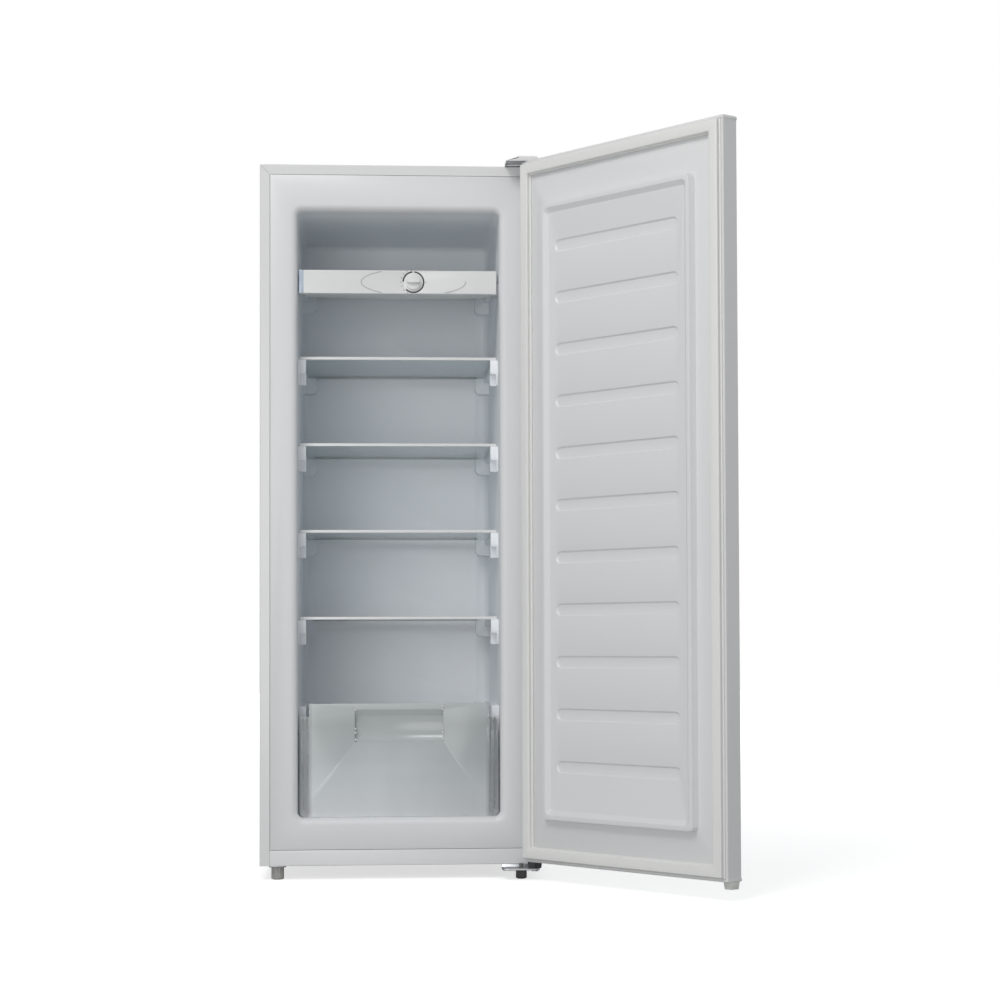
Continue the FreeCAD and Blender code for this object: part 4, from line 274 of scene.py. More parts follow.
def white_surround(fill):
    """Even fill light, which the camera, reflections and clear plastic see as plain white."""
    world = bpy.data.worlds.new("studio")
    world.use_nodes = True
    bpy.context.scene.world = world
    sky = world.node_tree
    sky.nodes.clear()
    rays = sky.nodes.new("ShaderNodeLightPath")
    seen = rays.outputs["Is Camera Ray"]
    for kind in ("Is Glossy Ray", "Is Transmission Ray"):
        either = sky.nodes.new("ShaderNodeMath")
        either.operation = "MAXIMUM"
        sky.links.new(seen, either.inputs[0])
        sky.links.new(rays.outputs[kind], either.inputs[1])
        seen = either.outputs[0]
    choice = sky.nodes.new("ShaderNodeMixShader")
    sky.links.new(seen, choice.inputs[0])
    for place, (colour, strength) in enumerate((((0.93, 0.97, 1.0, 1.0), fill), ((1, 1, 1, 1), 1.0))):
        light = sky.nodes.new("ShaderNodeBackground")
        light.inputs["Color"].default_value = colour
        light.inputs["Strength"].default_value = strength
        sky.links.new(light.outputs[0], choice.inputs[1 + place])
    end = sky.nodes.new("ShaderNodeOutputWorld")
    sky.links.new(choice.outputs[0], end.inputs["Surface"])


white_surround(FILL)


def studio_floor():
    """Pale floor paint that glows a little more with distance, as a swept paper backdrop does."""
    finish = Finish("studio_floor_paint")
    seen = finish.node("ShaderNodeLightPath")
    grain = finish.speckle(3.0)
    distance = finish.node("ShaderNodeVectorMath", {"operation": "LENGTH"}, {0: finish.place()}, 1)
    return finish.surface(
        Base_Color=finish.blend(grain, (0.62, 0.62, 0.62, 1), (0.64, 0.64, 0.64, 1)), Roughness=0.9,
        Emission_Color=seen * (FLOOR_GLOW + distance * 0.06).at_most(1.0), Emission_Strength=1.0)


bpy.ops.object.select_all(action="DESELECT")
bpy.ops.mesh.primitive_plane_add(size=26, location=at(0, 4000, 0))
floor = bpy.context.object
floor.name = "studio_floor"
bpy.ops.object.transform_apply(location=True, rotation=True, scale=True)
floor.data.materials.append(studio_floor())
print("lamps", FRONT_POWER, "and", KEY_POWER, "W, fill", FILL)

# %% [markdown]
# ## Finishes of the painted and moulded parts
# The outside is steel with a baked white enamel: smooth, softly glossy, with the faint unevenness
# that sprayed enamel shows under a lamp. The liner is a vacuum-formed plastic sheet, a little more
# matt, whose sheen changes slowly. Each finish has a slow change of tone, a fine grain in its
# roughness and a very shallow relief, so that no surface is a flat colour.

# %% Enamel, liner and trim plastics
TONE_CHANGE = 2.2
FINE_SHEEN = 0.05
SLOW_SHEEN = 0.06
PEEL_STRENGTH = 0.35
COAT_GLOSS = 0.12
# depth over which the liner's painted cavity light comes in from the front frame
CAVITY_LIGHT_OVER = 0.06


def coated(name, colour, gloss, peel_size, peel_depth, coat):
    """Paint or plastic: a slow change of tone and sheen, and a fine peel of a given size and depth."""
    finish = Finish(name)
    slow = finish.speckle(TONE_CHANGE, 1.0)
    fine = finish.speckle(peel_size, 2.0)
    darker = tuple(c * 0.975 for c in colour[:3]) + (1.0,)
    return finish.surface(
        Base_Color=finish.blend(slow, darker, colour),
        Roughness=gloss + (fine - 0.5) * FINE_SHEEN + (slow - 0.5) * SLOW_SHEEN,
        Normal=finish.raised(fine, peel_depth, PEEL_STRENGTH),
        Coat_Weight=coat, Coat_Roughness=COAT_GLOSS)


def formed_liner(name, front, deep):
    """The liner's sheet, with painted light: paler and cooler from its front frame into the cavity, to
    brighten the inside.
    """
    finish = Finish(name)
    depth = finish.node("ShaderNodeSeparateXYZ", {}, {"Vector": finish.place()}, 1)
    # painted light: this share runs from the front frame into the cavity, where the colour turns paler and
    # bluish
    drawn = ((depth - FRONT_Y) * (1 / CAVITY_LIGHT_OVER)).at_least(0.0).at_most(1.0)
    slow = finish.speckle(TONE_CHANGE, 1.0)
    fine = finish.speckle(160, 2.0)
    return finish.surface(
        Base_Color=finish.blend(drawn, front, deep),
        Roughness=0.42 + (fine - 0.5) * FINE_SHEEN + (slow - 0.5) * SLOW_SHEEN,
        Normal=finish.raised(fine, 0.0001, PEEL_STRENGTH), Coat_Weight=0.1, Coat_Roughness=COAT_GLOSS)


outer_enamel = coated("baked_white_enamel", shade(230, 230, 230), 0.34, 420, 0.00012, 0.25)
front_rail_enamel = coated("rail_enamel", shade(238, 238, 239), 0.36, 420, 0.00012, 0.2)
# the second liner colour is painted light, paler and cooler inside the cavity than at the front frame
liner_plastic = formed_liner("vacuum_formed_liner", shade(228, 229, 230), shade(246, 249, 253))
door_plastic = coated("vacuum_formed_door", shade(232, 232, 233), 0.42, 160, 0.00010, 0.1)
white_plastic = coated("white_moulded_trim", shade(232, 232, 232), 0.3, 300, 0.00006, 0.2)
# painted shade: a grey that stands in for the shading along the fascia's oval
shaded_line = coated("shaded_line", shade(188, 189, 192), 0.4, 300, 0.00006, 0.0)
# painted shade: a dark strip where the gap under each door cap lies in shade
gap_shade_strip = coated("gap_shade_strip", shade(112, 110, 108), 0.6, 300, 0.00003, 0.0)
# painted shadow: bluish grey where the cabinet's left wall shades the fascia's left end
end_shadow_paint = coated("fascia_end_shadow_paint", shade(186, 198, 216), 0.2, 300, 0.00003, 0.3)
printed_mark = coated("printed_mark", shade(48, 48, 52), 0.45, 300, 0.00003, 0.0)
dark_foot = coated("dark_foot_plastic", shade(92, 92, 90), 0.45, 240, 0.0001, 0.0)
white_nylon = coated("white_nylon", shade(225, 225, 220), 0.5, 260, 0.0001, 0.0)
grey_plastic = coated("grey_foot_plastic", shade(178, 177, 174), 0.45, 240, 0.0001, 0.0)
black_plastic = coated("black_housing_plastic", shade(42, 42, 44), 0.42, 300, 0.0001, 0.0)
dark_bush = coated("dark_bush_plastic", shade(70, 70, 72), 0.4, 300, 0.0001, 0.0)
black_rubber = coated("black_rubber", shade(34, 34, 34), 0.75, 500, 0.0002, 0.0)
compressor_black = coated("compressor_paint", shade(30, 30, 32), 0.32, 260, 0.0002, 0.3)
magnet_strip = coated("magnet_strip", shade(60, 57, 55), 0.7, 400, 0.0002, 0.0)
print("enamel, liner and plastics ready")

# %% [markdown]
# ## Metals, foam and seal
# Galvanised sheet shows a frozen pattern of crystals; copper tube is mottled by a light tarnish;
# zinc-plated hardware is a pale grey with fine scratches. The foam is a dull cream with fine cells,
# and the door seal a soft matt plastic.

# %% Metals, foam, seal


def metal(name, colour, gloss, stretch, scale, change):
    """Bare metal with a fine grain, drawn out by a stretch, and slow darker patches."""
    finish = Finish(name)
    grain = finish.speckle(scale, 3.0, stretch)
    slow = finish.speckle(9.0, 2.0)
    darker = tuple(c * change for c in colour[:3]) + (1.0,)
    return finish.surface(
        Base_Color=finish.blend(slow, darker, colour), Metallic=1.0,
        Roughness=gloss + (grain - 0.5) * 0.16, Normal=finish.raised(grain, 0.00008, 0.4))


def spangled_sheet(name):
    """Galvanised steel: crystals of slightly different grey, each with its own sheen."""
    finish = Finish(name)
    cells = finish.node("ShaderNodeTexVoronoi", {}, {"Vector": finish.place(), "Scale": 110.0}, 1)
    tone = finish.node("ShaderNodeSeparateColor", {}, {"Color": cells})
    return finish.surface(
        Base_Color=finish.blend(tone, shade(158, 162, 166), shade(190, 193, 196)), Metallic=0.9,
        Roughness=0.34 + tone * 0.2)


def foamed(name):
    """Insulating foam: cream patches and fine raised cells."""
    finish = Finish(name)
    cells = finish.node("ShaderNodeTexVoronoi", {}, {"Vector": finish.place(), "Scale": 900.0})
    slow = finish.speckle(14.0, 4.0)
    return finish.surface(
        Base_Color=finish.blend(slow, shade(222, 203, 158), shade(236, 222, 184)), Roughness=0.95,
        Normal=finish.raised(cells, 0.0004))


galvanised_sheet = spangled_sheet("galvanised_sheet")
roll_bond_aluminium = metal("rolled_aluminium", shade(215, 217, 220), 0.32, (1, 1, 30), 40, 0.93)
copper_tube = metal("drawn_copper", shade(206, 138, 100), 0.28, (1, 1, 1), 120, 0.8)
zinc_steel = metal("zinc_plated_steel", shade(190, 192, 196), 0.3, (1, 12, 1), 160, 0.85)
foam = foamed("insulating_foam")
gasket_pvc = coated("door_seal_plastic", shade(240, 240, 238), 0.5, 700, 0.0001, 0.0)
print("metals, foam and seal ready")

# %% [markdown]
# ## Glass and clear plastic
# Looking straight through a shelf, one sees the wall behind it; looking along it, one sees its
# greenish edge and the reflection of the room. So the alpha grows as the surface turns away from the
# eye, which stays free of noise in a short render. The drawer is a thicker moulding: it is less clear in
# the middle, where one looks through its panel and its bin, and clearer beside the bin. Its colour
# carries painted light and shade: paler towards its foot, darker through its middle height and darker
# towards its right side.

# %% Glass and clear drawer
DRAWER_FOOT, DRAWER_RISE = 0.12, 0.23
CLEAR_FROM, CLEAR_OVER = 0.172, 0.012
# where the painted shade towards the drawer's right side starts and how far it grows
SHADE_FROM, SHADE_OVER = 0.05, 0.26


def see_through(name, colour, least, most, gloss, bend):
    """Clear sheet whose alpha runs from its least, seen square on, to its most, seen along it."""
    finish = Finish(name)
    rim = finish.node("ShaderNodeLayerWeight", {}, {"Blend": bend}, 1)
    smear = finish.speckle(18.0, 3.0)
    return finish.surface(
        Base_Color=colour, Roughness=gloss + (smear - 0.5) * 0.04,
        Alpha=least + rim * (most - least), Specular_IOR_Level=0.6)


def moulded_styrene(name):
    """Clear styrene with painted light and shade in its colour: paler at its foot, darker through its
    middle height and towards its right side; clearer at its sides.
    """
    finish = Finish(name)
    across = finish.node("ShaderNodeSeparateXYZ", {}, {"Vector": finish.place()}, 0) - MIDDLE_X
    height = finish.node("ShaderNodeSeparateXYZ", {}, {"Vector": finish.place()}, 2)
    share = (height - DRAWER_FOOT) * (1 / DRAWER_RISE)
    sides = ((across.at_least(0.0 - across) - CLEAR_FROM) * (1 / CLEAR_OVER)).at_least(0.0).at_most(1.0)
    # painted shade: the colour darkens towards the drawer's right side
    away = ((across + SHADE_FROM) * (1 / SHADE_OVER)).at_least(0.0).at_most(1.0)
    # painted light and shade by height: paler at the foot, darker through the middle
    tone = finish.node("ShaderNodeValToRGB", {"ramp": (
        (0.0, shade(250, 252, 254)), (0.25, shade(238, 243, 246)), (0.5, shade(214, 220, 222)),
        (0.8, shade(204, 210, 210)), (1.0, shade(222, 227, 226)))}, {"Fac": share})
    rim = finish.node("ShaderNodeLayerWeight", {}, {"Blend": 0.3}, 1)
    smear = finish.speckle(18.0, 3.0, (1, 1, 0.2))
    return finish.surface(
        Base_Color=finish.blend(away * 0.3, tone, shade(150, 156, 159)),
        Roughness=0.2 + (smear - 0.5) * 0.12,
        Alpha=0.66 - sides * 0.42 + rim * 0.3 + (smear - 0.5) * 0.1, Specular_IOR_Level=0.6)


shelf_glass = see_through("shelf_glass", shade(190, 212, 216), 0.08, 0.6, 0.06, 0.35)
# painted shade: the clear ribs are given a dark grey, for the dark lines they show through the drawer's
# front
drawer_rib = see_through("drawer_rib_plastic", shade(108, 115, 119), 0.9, 1.0, 0.1, 0.3)
clear_drawer = moulded_styrene("clear_drawer_plastic")
print("clear finishes ready")

# %% [markdown]
# ## Working with one piece at a time
# An operator works on whatever is selected, and the loaded model arrives selected. So every step
# starts by clearing the selection. `edit` opens one piece, `pick` selects faces, edges or points by
# their place, and `finish_piece` smooths the shading, gives the finish and says what carries the piece.

# %% Small helpers for modelling


def clear_selection():
    if bpy.context.object and bpy.context.object.mode != "OBJECT":
        bpy.ops.object.mode_set(mode="OBJECT")
    bpy.ops.object.select_all(action="DESELECT")


def only(piece):
    clear_selection()
    piece.hide_set(False)
    piece.select_set(True)
    bpy.context.view_layer.objects.active = piece


def edit(piece, kind="FACE"):
    only(piece)
    bpy.ops.object.mode_set(mode="EDIT")
    bpy.ops.mesh.select_mode(type=kind)
    bpy.ops.mesh.select_all(action="DESELECT")


def pick(test, kind="faces"):
    """Selects the open piece's faces, edges or verts whose middle and direction pass a test."""
    mesh = bpy.context.object.data
    grid = bmesh.from_edit_mesh(mesh)
    for item in getattr(grid, kind):
        if kind == "faces":
            middle, along = item.calc_center_median(), item.normal
        elif kind == "edges":
            middle = (item.verts[0].co + item.verts[1].co) / 2
            along = (item.verts[1].co - item.verts[0].co).normalized()
        else:
            middle, along = item.co, item.normal
        if test(middle, along):
            item.select_set(True)
    grid.select_flush_mode()
    bmesh.update_edit_mesh(mesh)


def done():
    bpy.ops.object.mode_set(mode="OBJECT")


def settle(piece):
    """Puts a piece's place, turn and size into its mesh."""
    only(piece)
    bpy.ops.object.transform_apply(location=True, rotation=True, scale=True)
    return piece


def block(name, low, high):
    """A cube primitive between two corners, given in millimetres on the cabinet."""
    clear_selection()
    first, last = at(*low), at(*high)
    bpy.ops.mesh.primitive_cube_add(size=1, location=(first + last) / 2, scale=last - first)
    piece = bpy.context.object
    piece.name = name
    return settle(piece)


def apply_modifier(piece, kind, **settings):
    only(piece)
    modifier = piece.modifiers.new(kind.lower(), kind)
    for key, value in settings.items():
        setattr(modifier, key, value)
    bpy.ops.object.modifier_apply(modifier=modifier.name)


def rounded(piece, width, segments=3, angle=35):
    """Rounds every edge sharper than an angle; width in millimetres."""
    apply_modifier(piece, "BEVEL", width=width * MM, segments=segments, limit_method="ANGLE",
                   angle_limit=math.radians(angle), miter_outer="MITER_ARC", use_clamp_overlap=True)


def smooth(piece, angle=32):
    only(piece)
    bpy.ops.object.shade_smooth_by_angle(angle=math.radians(angle))


def dress(piece, finish):
    piece.data.materials.clear()
    piece.data.materials.append(finish)


def finish_piece(piece, body, finish, stands_for=(), angle=32):
    smooth(piece, angle)
    dress(piece, finish)
    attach(piece, body)
    if stands_for:
        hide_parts(*stands_for)
    return piece


BODY_OF = {node: body for body, nodes in frame["record"]["behaviour"]["bodies"].items() for node in nodes}
SLOT_OF = {row["node"]: row["material_slot"] for row in frame["record"]["subparts"]}
FINISH_OF = {
    "outer_enamel": outer_enamel, "front_rail_enamel": front_rail_enamel,
    "galvanised_sheet": galvanised_sheet, "liner_plastic": liner_plastic, "foam": foam,
    "roll_bond_aluminium": roll_bond_aluminium, "copper_tube": copper_tube,
    "compressor_black": compressor_black, "black_rubber": black_rubber, "black_plastic": black_plastic,
    "zinc_steel": zinc_steel, "grey_plastic": grey_plastic, "white_plastic": white_plastic,
    "shelf_glass": shelf_glass, "clear_drawer": clear_drawer, "gasket_pvc": gasket_pvc,
    "magnet_strip": magnet_strip, "white_nylon": white_nylon, "dark_bush": dark_bush,
}
print("helpers ready for", len(BODY_OF), "nodes")

# %% [markdown]
# ## Every carried node gets its finish
# The nodes whose shape is right as it is, such as the steel wrap, the screws and the inner pieces,
# stay as they are and only take the finish of their slot.

# %% Finishes for the engineering nodes
OWN_FINISH = {"door_liner": door_plastic, "front_right_foot": dark_foot}


def finish_of(node):
    return OWN_FINISH.get(node, FINISH_OF[SLOT_OF[node]])


for node, piece in frame["nodes"].items():
    dress(piece, finish_of(node))
print("dressed", len(frame["nodes"]), "nodes")

# %% [markdown]
# ## Soft edges on moulded pieces
# A moulded or formed edge is never sharp: it catches a thin line of light, and this line tells the
# eye how big the radius is. A copy of the engineering node is merged into a clean mesh, and each
# edge is rounded by its own true radius.

# %% Softened copies of moulded nodes


def softened(node, width, segments=2, angle=35, reshape=None):
    """A merged copy of a node, perhaps reshaped, with each edge rounded; it stands for that node."""
    source = frame["nodes"][node]
    piece = bpy.data.objects.new(node + "_moulded", source.data.copy())
    bpy.context.scene.collection.objects.link(piece)
    edit(piece, "VERT")
    bpy.ops.mesh.select_all(action="SELECT")
    bpy.ops.mesh.remove_doubles(threshold=0.00001)
    bpy.ops.mesh.customdata_custom_splitnormals_clear()
    if reshape:
        reshape()
    done()
    rounded(piece, width, segments, angle)
    return finish_piece(piece, BODY_OF[node], finish_of(node), [node])


ROUNDED_NODES = {
    "inner_liner": 1.0, "door_liner": 0.8, "control_housing": 0.5, "drawer_front": 0.6,
    "drawer_bin": 0.5, "door_top_cap": 0.8, "door_bottom_cap": 0.8,
    "terminal_cover": 1.5, "handle_pocket": 0.8, "bottom_hinge_bracket": 0.3,
    "top_hinge_bracket": 0.3, "door_bottom_bush": 0.8, "spare_door_bush": 0.8,
    "compressor": 1.0, "front_left_foot": 0.4, "front_right_foot": 0.4, "left_foot_plate": 0.4,
    "compressor_base": 0.4, "bottom_front_rail": 0.5,
}
for number in range(1, 6):
    ROUNDED_NODES["shelf_%d_front_trim" % number] = 0.3
    ROUNDED_NODES["shelf_%d_rear_trim" % number] = 0.3
for node, width in ROUNDED_NODES.items():
    made = softened(node, width)
    print(node, len(made.data.polygons), "faces")

# %% [markdown]
# ## The hinge cover's sloping side
# The cover over the upper hinge is a thin moulding. Its free side leans back towards the hinge, so
# that a cloth slides over it, and a low wall closes its front, just behind the door's top edge.

# %% Hinge cover
COVER_LEAN = 24.0
FRONT_WALL_LEAN = COVER_LEAN * 0.6
FRONT_WALL_Y = (-4.0, -2.2)
FRONT_WALL_HEIGHT = 11.0
LEAN_WITHIN, LEAN_ABOVE = 4.0, 7.0
cover_low, cover_high = across_of("top_hinge_cover")


def lean_side(shift=COVER_LEAN):
    """Moves the upper points of the open piece's free side towards the hinge."""
    bpy.ops.mesh.select_all(action="DESELECT")
    near_side, upper = at(cover_low[0] + LEAN_WITHIN, 0, 0).x, at(0, 0, BODY_TOP + LEAN_ABOVE).z
    pick(lambda middle, along: middle.x < near_side and middle.z > upper, "verts")
    bpy.ops.transform.translate(value=(shift * MM, 0, 0))


def cover_front():
    low = (cover_low[0] + 1.5, FRONT_WALL_Y[0], BODY_TOP + 0.2)
    high = (cover_high[0] - 1.0, FRONT_WALL_Y[1], BODY_TOP + FRONT_WALL_HEIGHT)
    wall = block("hinge_cover_front", low, high)
    edit(wall, "VERT")
    lean_side(FRONT_WALL_LEAN)
    done()
    rounded(wall, 0.4, 2, 40)
    return finish_piece(wall, "cabinet", white_plastic)


softened("top_hinge_cover", 1.6, 3, 30, lean_side)
print("hinge cover front", len(cover_front().data.polygons), "faces")

# %% [markdown]
# ## The door seal
# The seal is an extruded strip of soft plastic, welded at its mitred corners: a foot that lies on
# the door, a narrow bellows and a hollow bulb with the magnet. Each of the three is a picture frame:
# a block whose two faces are inset and joined through, so that the corners come out mitred. All
# are made as if the door were shut and then swung open with it.

# %% Door seal
DOOR_SWING = math.radians(127.5)
HINGE_AXIS = at(267.5, -32, 0)
SEAL_LEFT, SEAL_RIGHT = -272.0, 272.0
SEAL_BOTTOM, SEAL_TOP = 42.5, 1422.6
SEAL_FOOT_Y = -12.8
STRIP_GAP, STRIP_EDGE = 0.5, 2.4
# each layer: name, inset from the seal's edge, width, nearest and farthest from the door, edge radius
SEAL_LAYERS = (
    ("seal_foot", 0.0, 24.0, 0.0, 3.0, 0.8),
    ("seal_bellows", 2.6, 18.0, 2.8, 6.6, 0.5),
    ("seal_bulb", 1.2, 20.8, 6.4, 12.0, 2.4),
)


def swing_open(piece):
    """Turns a piece made on the shut door about the hinge, to where the open door stands."""
    there = Matrix.Translation(HINGE_AXIS)
    piece.matrix_world = there @ Matrix.Rotation(DOOR_SWING, 4, "Z") @ there.inverted()
    return settle(piece)


def picture_frame(name, inset, width, y0, y1):
    """A mitred frame round the door: a block with its faces inset and joined through."""
    low = (SEAL_LEFT + inset, y0, SEAL_BOTTOM + inset)
    high = (SEAL_RIGHT - inset, y1, SEAL_TOP - inset)
    piece = block(name, low, high)
    edit(piece)
    pick(lambda middle, along: abs(along.y) > 0.9)
    bpy.ops.mesh.inset(thickness=width * MM, use_individual=True)
    bpy.ops.mesh.bridge_edge_loops()
    bpy.ops.mesh.select_all(action="SELECT")
    bpy.ops.mesh.normals_make_consistent(inside=False)
    done()
    return piece


def joined(name, pieces):
    only(pieces[0])
    for piece in pieces:
        piece.select_set(True)
    bpy.ops.object.join()
    whole = bpy.context.object
    whole.name = name
    return whole


def door_seal():
    layers = []
    for name, inset, width, low, high, radius in SEAL_LAYERS:
        layer = picture_frame(name, inset, width, SEAL_FOOT_Y + low, SEAL_FOOT_Y + high)
        rounded(layer, radius, 4, 60)
        layers.append(layer)
    seal = swing_open(joined("door_seal", layers))
    return finish_piece(seal, BODY_OF["door_gasket"], gasket_pvc, ["door_gasket"])


def cap_gap_shades():
    """Dark strips in the gaps between the door's two end caps and its liner: painted shade."""
    strips = []
    y0, y1 = SEAL_FOOT_Y - 0.3, SEAL_FOOT_Y + 0.4
    for edge, away in ((SEAL_TOP, 1), (SEAL_BOTTOM, -1)):
        low, high = sorted((edge + away * STRIP_GAP, edge + away * STRIP_EDGE))
        strips.append(block("strip", (SEAL_LEFT, y0, low), (SEAL_RIGHT, y1, high)))
    whole = swing_open(joined("cap_gap_shades", strips))
    return finish_piece(whole, BODY_OF["door_gasket"], gap_shade_strip)


for made in (door_seal(), cap_gap_shades()):
    print(made.name, len(made.data.polygons), "faces")

# %% [markdown]
# ## The thermostat's dial
# The knob is a disc with a raised half and a grip bar across it. A dark broken ring is printed
# round it, with small ticks outside. The fascia carries a shallow oval ridge, centred on the dial,
# in a grey that is painted shade along the oval; only its left end and lower right part are kept,
# and its middle runs off the fascia's edges.
# A bluish block at the fascia's left end is painted shadow, where the cabinet's left wall shades the
# fascia.

# %% Dial: knob, ring, ticks and oval ridge
DIAL_X, DIAL_Z = 30.0, 1195.25
FASCIA_Y = 18.0
KNOB_RADIUS = 15.5
RING_RADIUS = 22.2
RING_WIDTH = 3.0
RING_SIDES = 144
RING_BREAKS = ((86, 95), (178, 224))
TICK_RADIUS = 25.2
TICK_ANGLES = range(100, 261, 20)
TICK_SIZE = (2.2, 0.3, 1.0)
OVAL_HALF_WIDTH, OVAL_HALF_HEIGHT = 106.0, 28.0
OVAL_REACH = 21.5
OVAL_WIDTH = 2.2


def disc(name, radius, y0, y1, sides=64):
    """A cylinder on the dial's axis between two depths."""
    clear_selection()
    bpy.ops.mesh.primitive_cylinder_add(
        vertices=sides, radius=radius * MM, depth=(y1 - y0) * MM,
        location=at(DIAL_X, (y0 + y1) / 2, DIAL_Z), rotation=(math.pi / 2, 0, 0))
    piece = bpy.context.object
    piece.name = name
    return settle(piece)


def knob():
    """A disc just clear of the fascia, its raised upper half, the grip bar and the stem."""
    base = disc("knob_base", KNOB_RADIUS, 13.4, 17.4)
    rounded(base, 0.9, 3, 60)
    raised = disc("knob_half", KNOB_RADIUS - 2.2, 10.6, 13.6)
    edit(raised)
    bpy.ops.mesh.select_all(action="SELECT")
    bpy.ops.mesh.bisect(
        plane_co=at(DIAL_X, 0, DIAL_Z - 1), plane_no=(0, 0, 1), use_fill=True, clear_inner=True)
    done()
    rounded(raised, 0.7, 3, 50)
    grip = block("knob_grip", (DIAL_X - 13.0, 6.6, DIAL_Z - 3.4), (DIAL_X + 13.0, 13.6, DIAL_Z + 1.6))
    edit(grip)
    pick(lambda middle, along: along.y < -0.9)
    bpy.ops.transform.resize(value=(0.86, 1, 0.6))
    done()
    rounded(grip, 1.1, 3, 40)
    stem = disc("knob_stem", 3.0, 17.2, 31.0, 32)
    whole = joined("turning_knob", [base, raised, grip, stem])
    body = BODY_OF["thermostat_knob"]
    return finish_piece(whole, body, white_plastic, ["thermostat_knob"])


def flat_ring(name, half_width, half_height, width, y0, y1, keep):
    """A ring round the dial: a circle drawn out flat, cut to the parts kept, then given depth."""
    clear_selection()
    bpy.ops.mesh.primitive_circle_add(
        vertices=RING_SIDES, radius=1, location=(0, 0, 0), rotation=(math.pi / 2, 0, 0))
    ring = bpy.context.object
    ring.name = name
    ring.scale = (half_width * MM, half_height * MM, 1)
    ring.location = at(DIAL_X, y1, DIAL_Z)
    settle(ring)
    edit(ring, "EDGE")
    bpy.ops.mesh.select_all(action="SELECT")
    bpy.ops.mesh.extrude_edges_move()
    smaller = (1 - width / half_width, 1, 1 - width / half_height)
    bpy.ops.transform.resize(value=smaller, center_override=at(DIAL_X, y1, DIAL_Z))
    bpy.ops.mesh.select_mode(type="FACE")
    bpy.ops.mesh.select_all(action="DESELECT")
    pick(lambda middle, along: not keep(middle))
    bpy.ops.mesh.delete(type="FACE")
    bpy.ops.mesh.select_all(action="SELECT")
    bpy.ops.mesh.extrude_region_move(TRANSFORM_OT_translate={"value": (0, (y0 - y1) * MM, 0)})
    bpy.ops.mesh.select_all(action="SELECT")
    bpy.ops.mesh.normals_make_consistent(inside=False)
    done()
    return ring


def turn_of(middle):
    """The angle round the dial of a point, counted from the right over the top, in degrees."""
    offset = middle - at(DIAL_X, 0, DIAL_Z)
    return math.degrees(math.atan2(offset.z, offset.x)) % 360


def in_ring(middle):
    angle = turn_of(middle)
    return not any(start < angle < end for start, end in RING_BREAKS)


def dial_marks():
    y0, y1 = FASCIA_Y - 0.15, FASCIA_Y + 0.7
    marks = [flat_ring("dial_ring", RING_RADIUS, RING_RADIUS, RING_WIDTH, y0, y1, in_ring)]
    for angle in list(TICK_ANGLES) + [0]:
        turn = math.radians(angle)
        x, z = DIAL_X + TICK_RADIUS * math.cos(turn), DIAL_Z + TICK_RADIUS * math.sin(turn)
        clear_selection()
        bpy.ops.mesh.primitive_cube_add(
            size=1, rotation=(0, -turn, 0), scale=[length * MM for length in TICK_SIZE],
            location=at(x, FASCIA_Y, z))
        marks.append(settle(bpy.context.object))
    whole = joined("dial_marks", marks)
    return finish_piece(whole, "cabinet", printed_mark)


def oval_ridge():
    """The oval in a grey that is painted shade, kept where it lies on the fascia and left out at its upper
    right.
    """
    dial = at(DIAL_X, 0, DIAL_Z)

    def on_fascia(middle):
        up, right = middle.z - dial.z, middle.x - dial.x
        return abs(up) < OVAL_REACH * MM and not (up > 2 * MM and right > 0)

    y0, y1 = FASCIA_Y - 0.6, FASCIA_Y + 0.2
    ridge = flat_ring("fascia_oval", OVAL_HALF_WIDTH, OVAL_HALF_HEIGHT, OVAL_WIDTH, y0, y1, on_fascia)
    return finish_piece(ridge, "cabinet", shaded_line)


def fascia_end():
    """A bluish block at the fascia's left end: painted shadow of the cabinet's left wall."""
    low, high = across_of("control_housing")
    near_corner = (low[0] - 2.0, FASCIA_Y - 0.8, low[2] + 0.4)
    far_corner = (low[0] + 7.0, FASCIA_Y + 8, high[2] - 0.4)
    end = block("fascia_end", near_corner, far_corner)
    rounded(end, 0.8, 2, 40)
    return finish_piece(end, "cabinet", end_shadow_paint)


for made in (knob(), dial_marks(), oval_ridge(), fascia_end()):
    print(made.name, len(made.data.polygons), "faces")

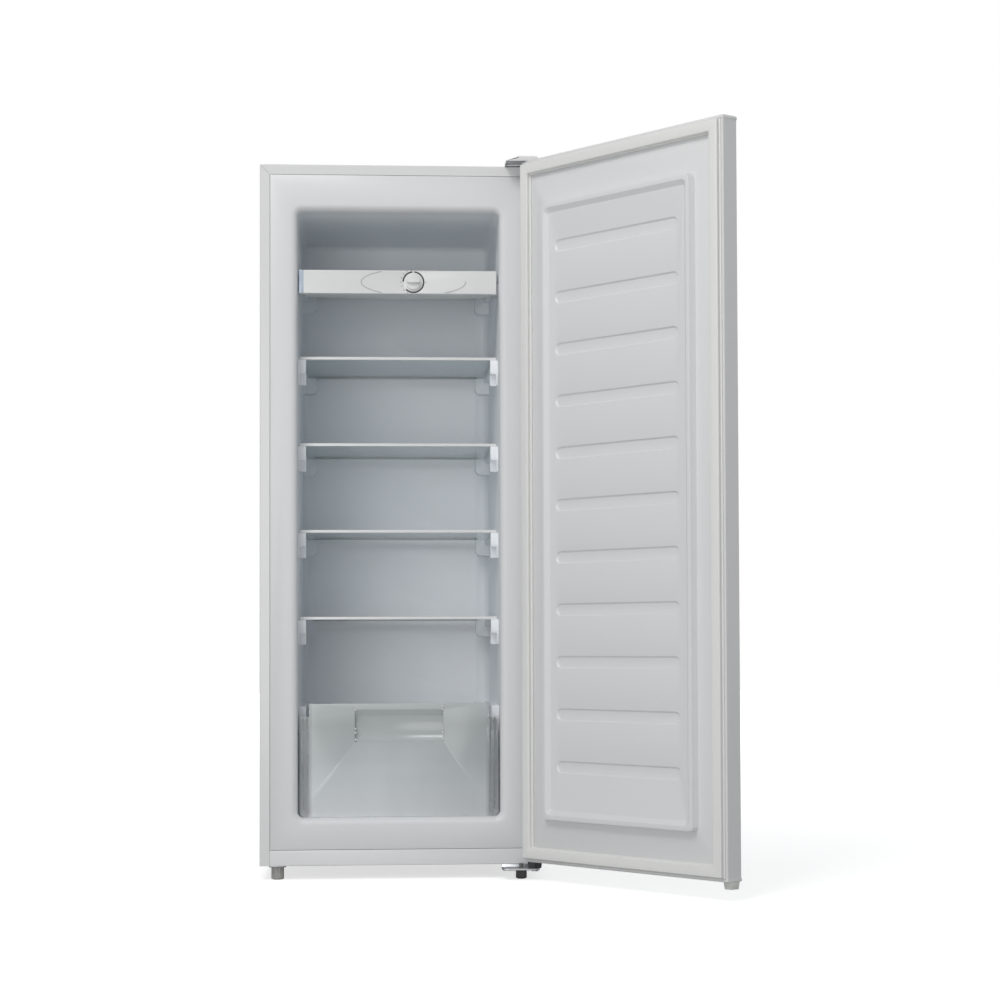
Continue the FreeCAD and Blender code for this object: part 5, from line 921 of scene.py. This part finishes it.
# %% [markdown]
# ## Ribs and painted glints of the clear drawer
# The drawer's front is moulded in clear styrene. Two upright ribs behind it stiffen each of its
# sides; their dark grey is painted shade, for the dark lines they show through the front. Small white
# dots at the grip's pan are painted highlights, for the glints on its edges.

# %% Drawer ribs and painted glint dots
DRAWER_FRONT_Y = 24.0
DRAWER_TOP = 348.0
DRAWER_LOW = 122.5
RIB_TOP = DRAWER_TOP - 28
# each rib: distance of its near side from the middle, width, height of its foot, lean
RIBS = ((181.5, 4.0, DRAWER_LOW + 8, 3.0), (190.5, 3.0, DRAWER_LOW + 14, 1.5))
GLINT_DROPS = (6.0, 12.0, 50.0, 58.0, 72.0)
GLINT_X = 87.0
GLINT_RADIUS = 2.0


def drawer_rib_at(side, place, width, foot, lean):
    """An upright rib behind the panel; its foot leans towards the middle."""
    x0, x1 = sorted((side * place, side * (place + width)))
    rib = block("rib", (x0, DRAWER_FRONT_Y + 3, foot), (x1, DRAWER_FRONT_Y + 8, RIB_TOP))
    edit(rib)
    pick(lambda middle, along: along.z < -0.9)
    bpy.ops.transform.translate(value=(-side * lean * MM, 0, 0))
    done()
    return rib


def drawer_ribs():
    ribs = [drawer_rib_at(side, *sizes) for side in (-1, 1) for sizes in RIBS]
    whole = joined("drawer_ribs", ribs)
    rounded(whole, 0.4, 2, 40)
    # the ribs' dark grey is painted shade on real stiffening ribs
    return finish_piece(whole, BODY_OF["drawer_front"], drawer_rib)


def drawer_glint_dots():
    # painted highlights: small white dots standing in for the glints at the grip's edges
    glint_dots = []
    for side in (-1, 1):
        for drop in GLINT_DROPS:
            clear_selection()
            bpy.ops.mesh.primitive_uv_sphere_add(
                segments=16, ring_count=8, radius=GLINT_RADIUS * MM,
                location=at(side * GLINT_X, DRAWER_FRONT_Y - 0.8, DRAWER_TOP - drop))
            glint_dots.append(settle(bpy.context.object))
    whole = joined("grip_glint_dots", glint_dots)
    return finish_piece(whole, BODY_OF["drawer_front"], white_plastic)


for made in (drawer_ribs(), drawer_glint_dots()):
    print(made.name, len(made.data.polygons), "faces")
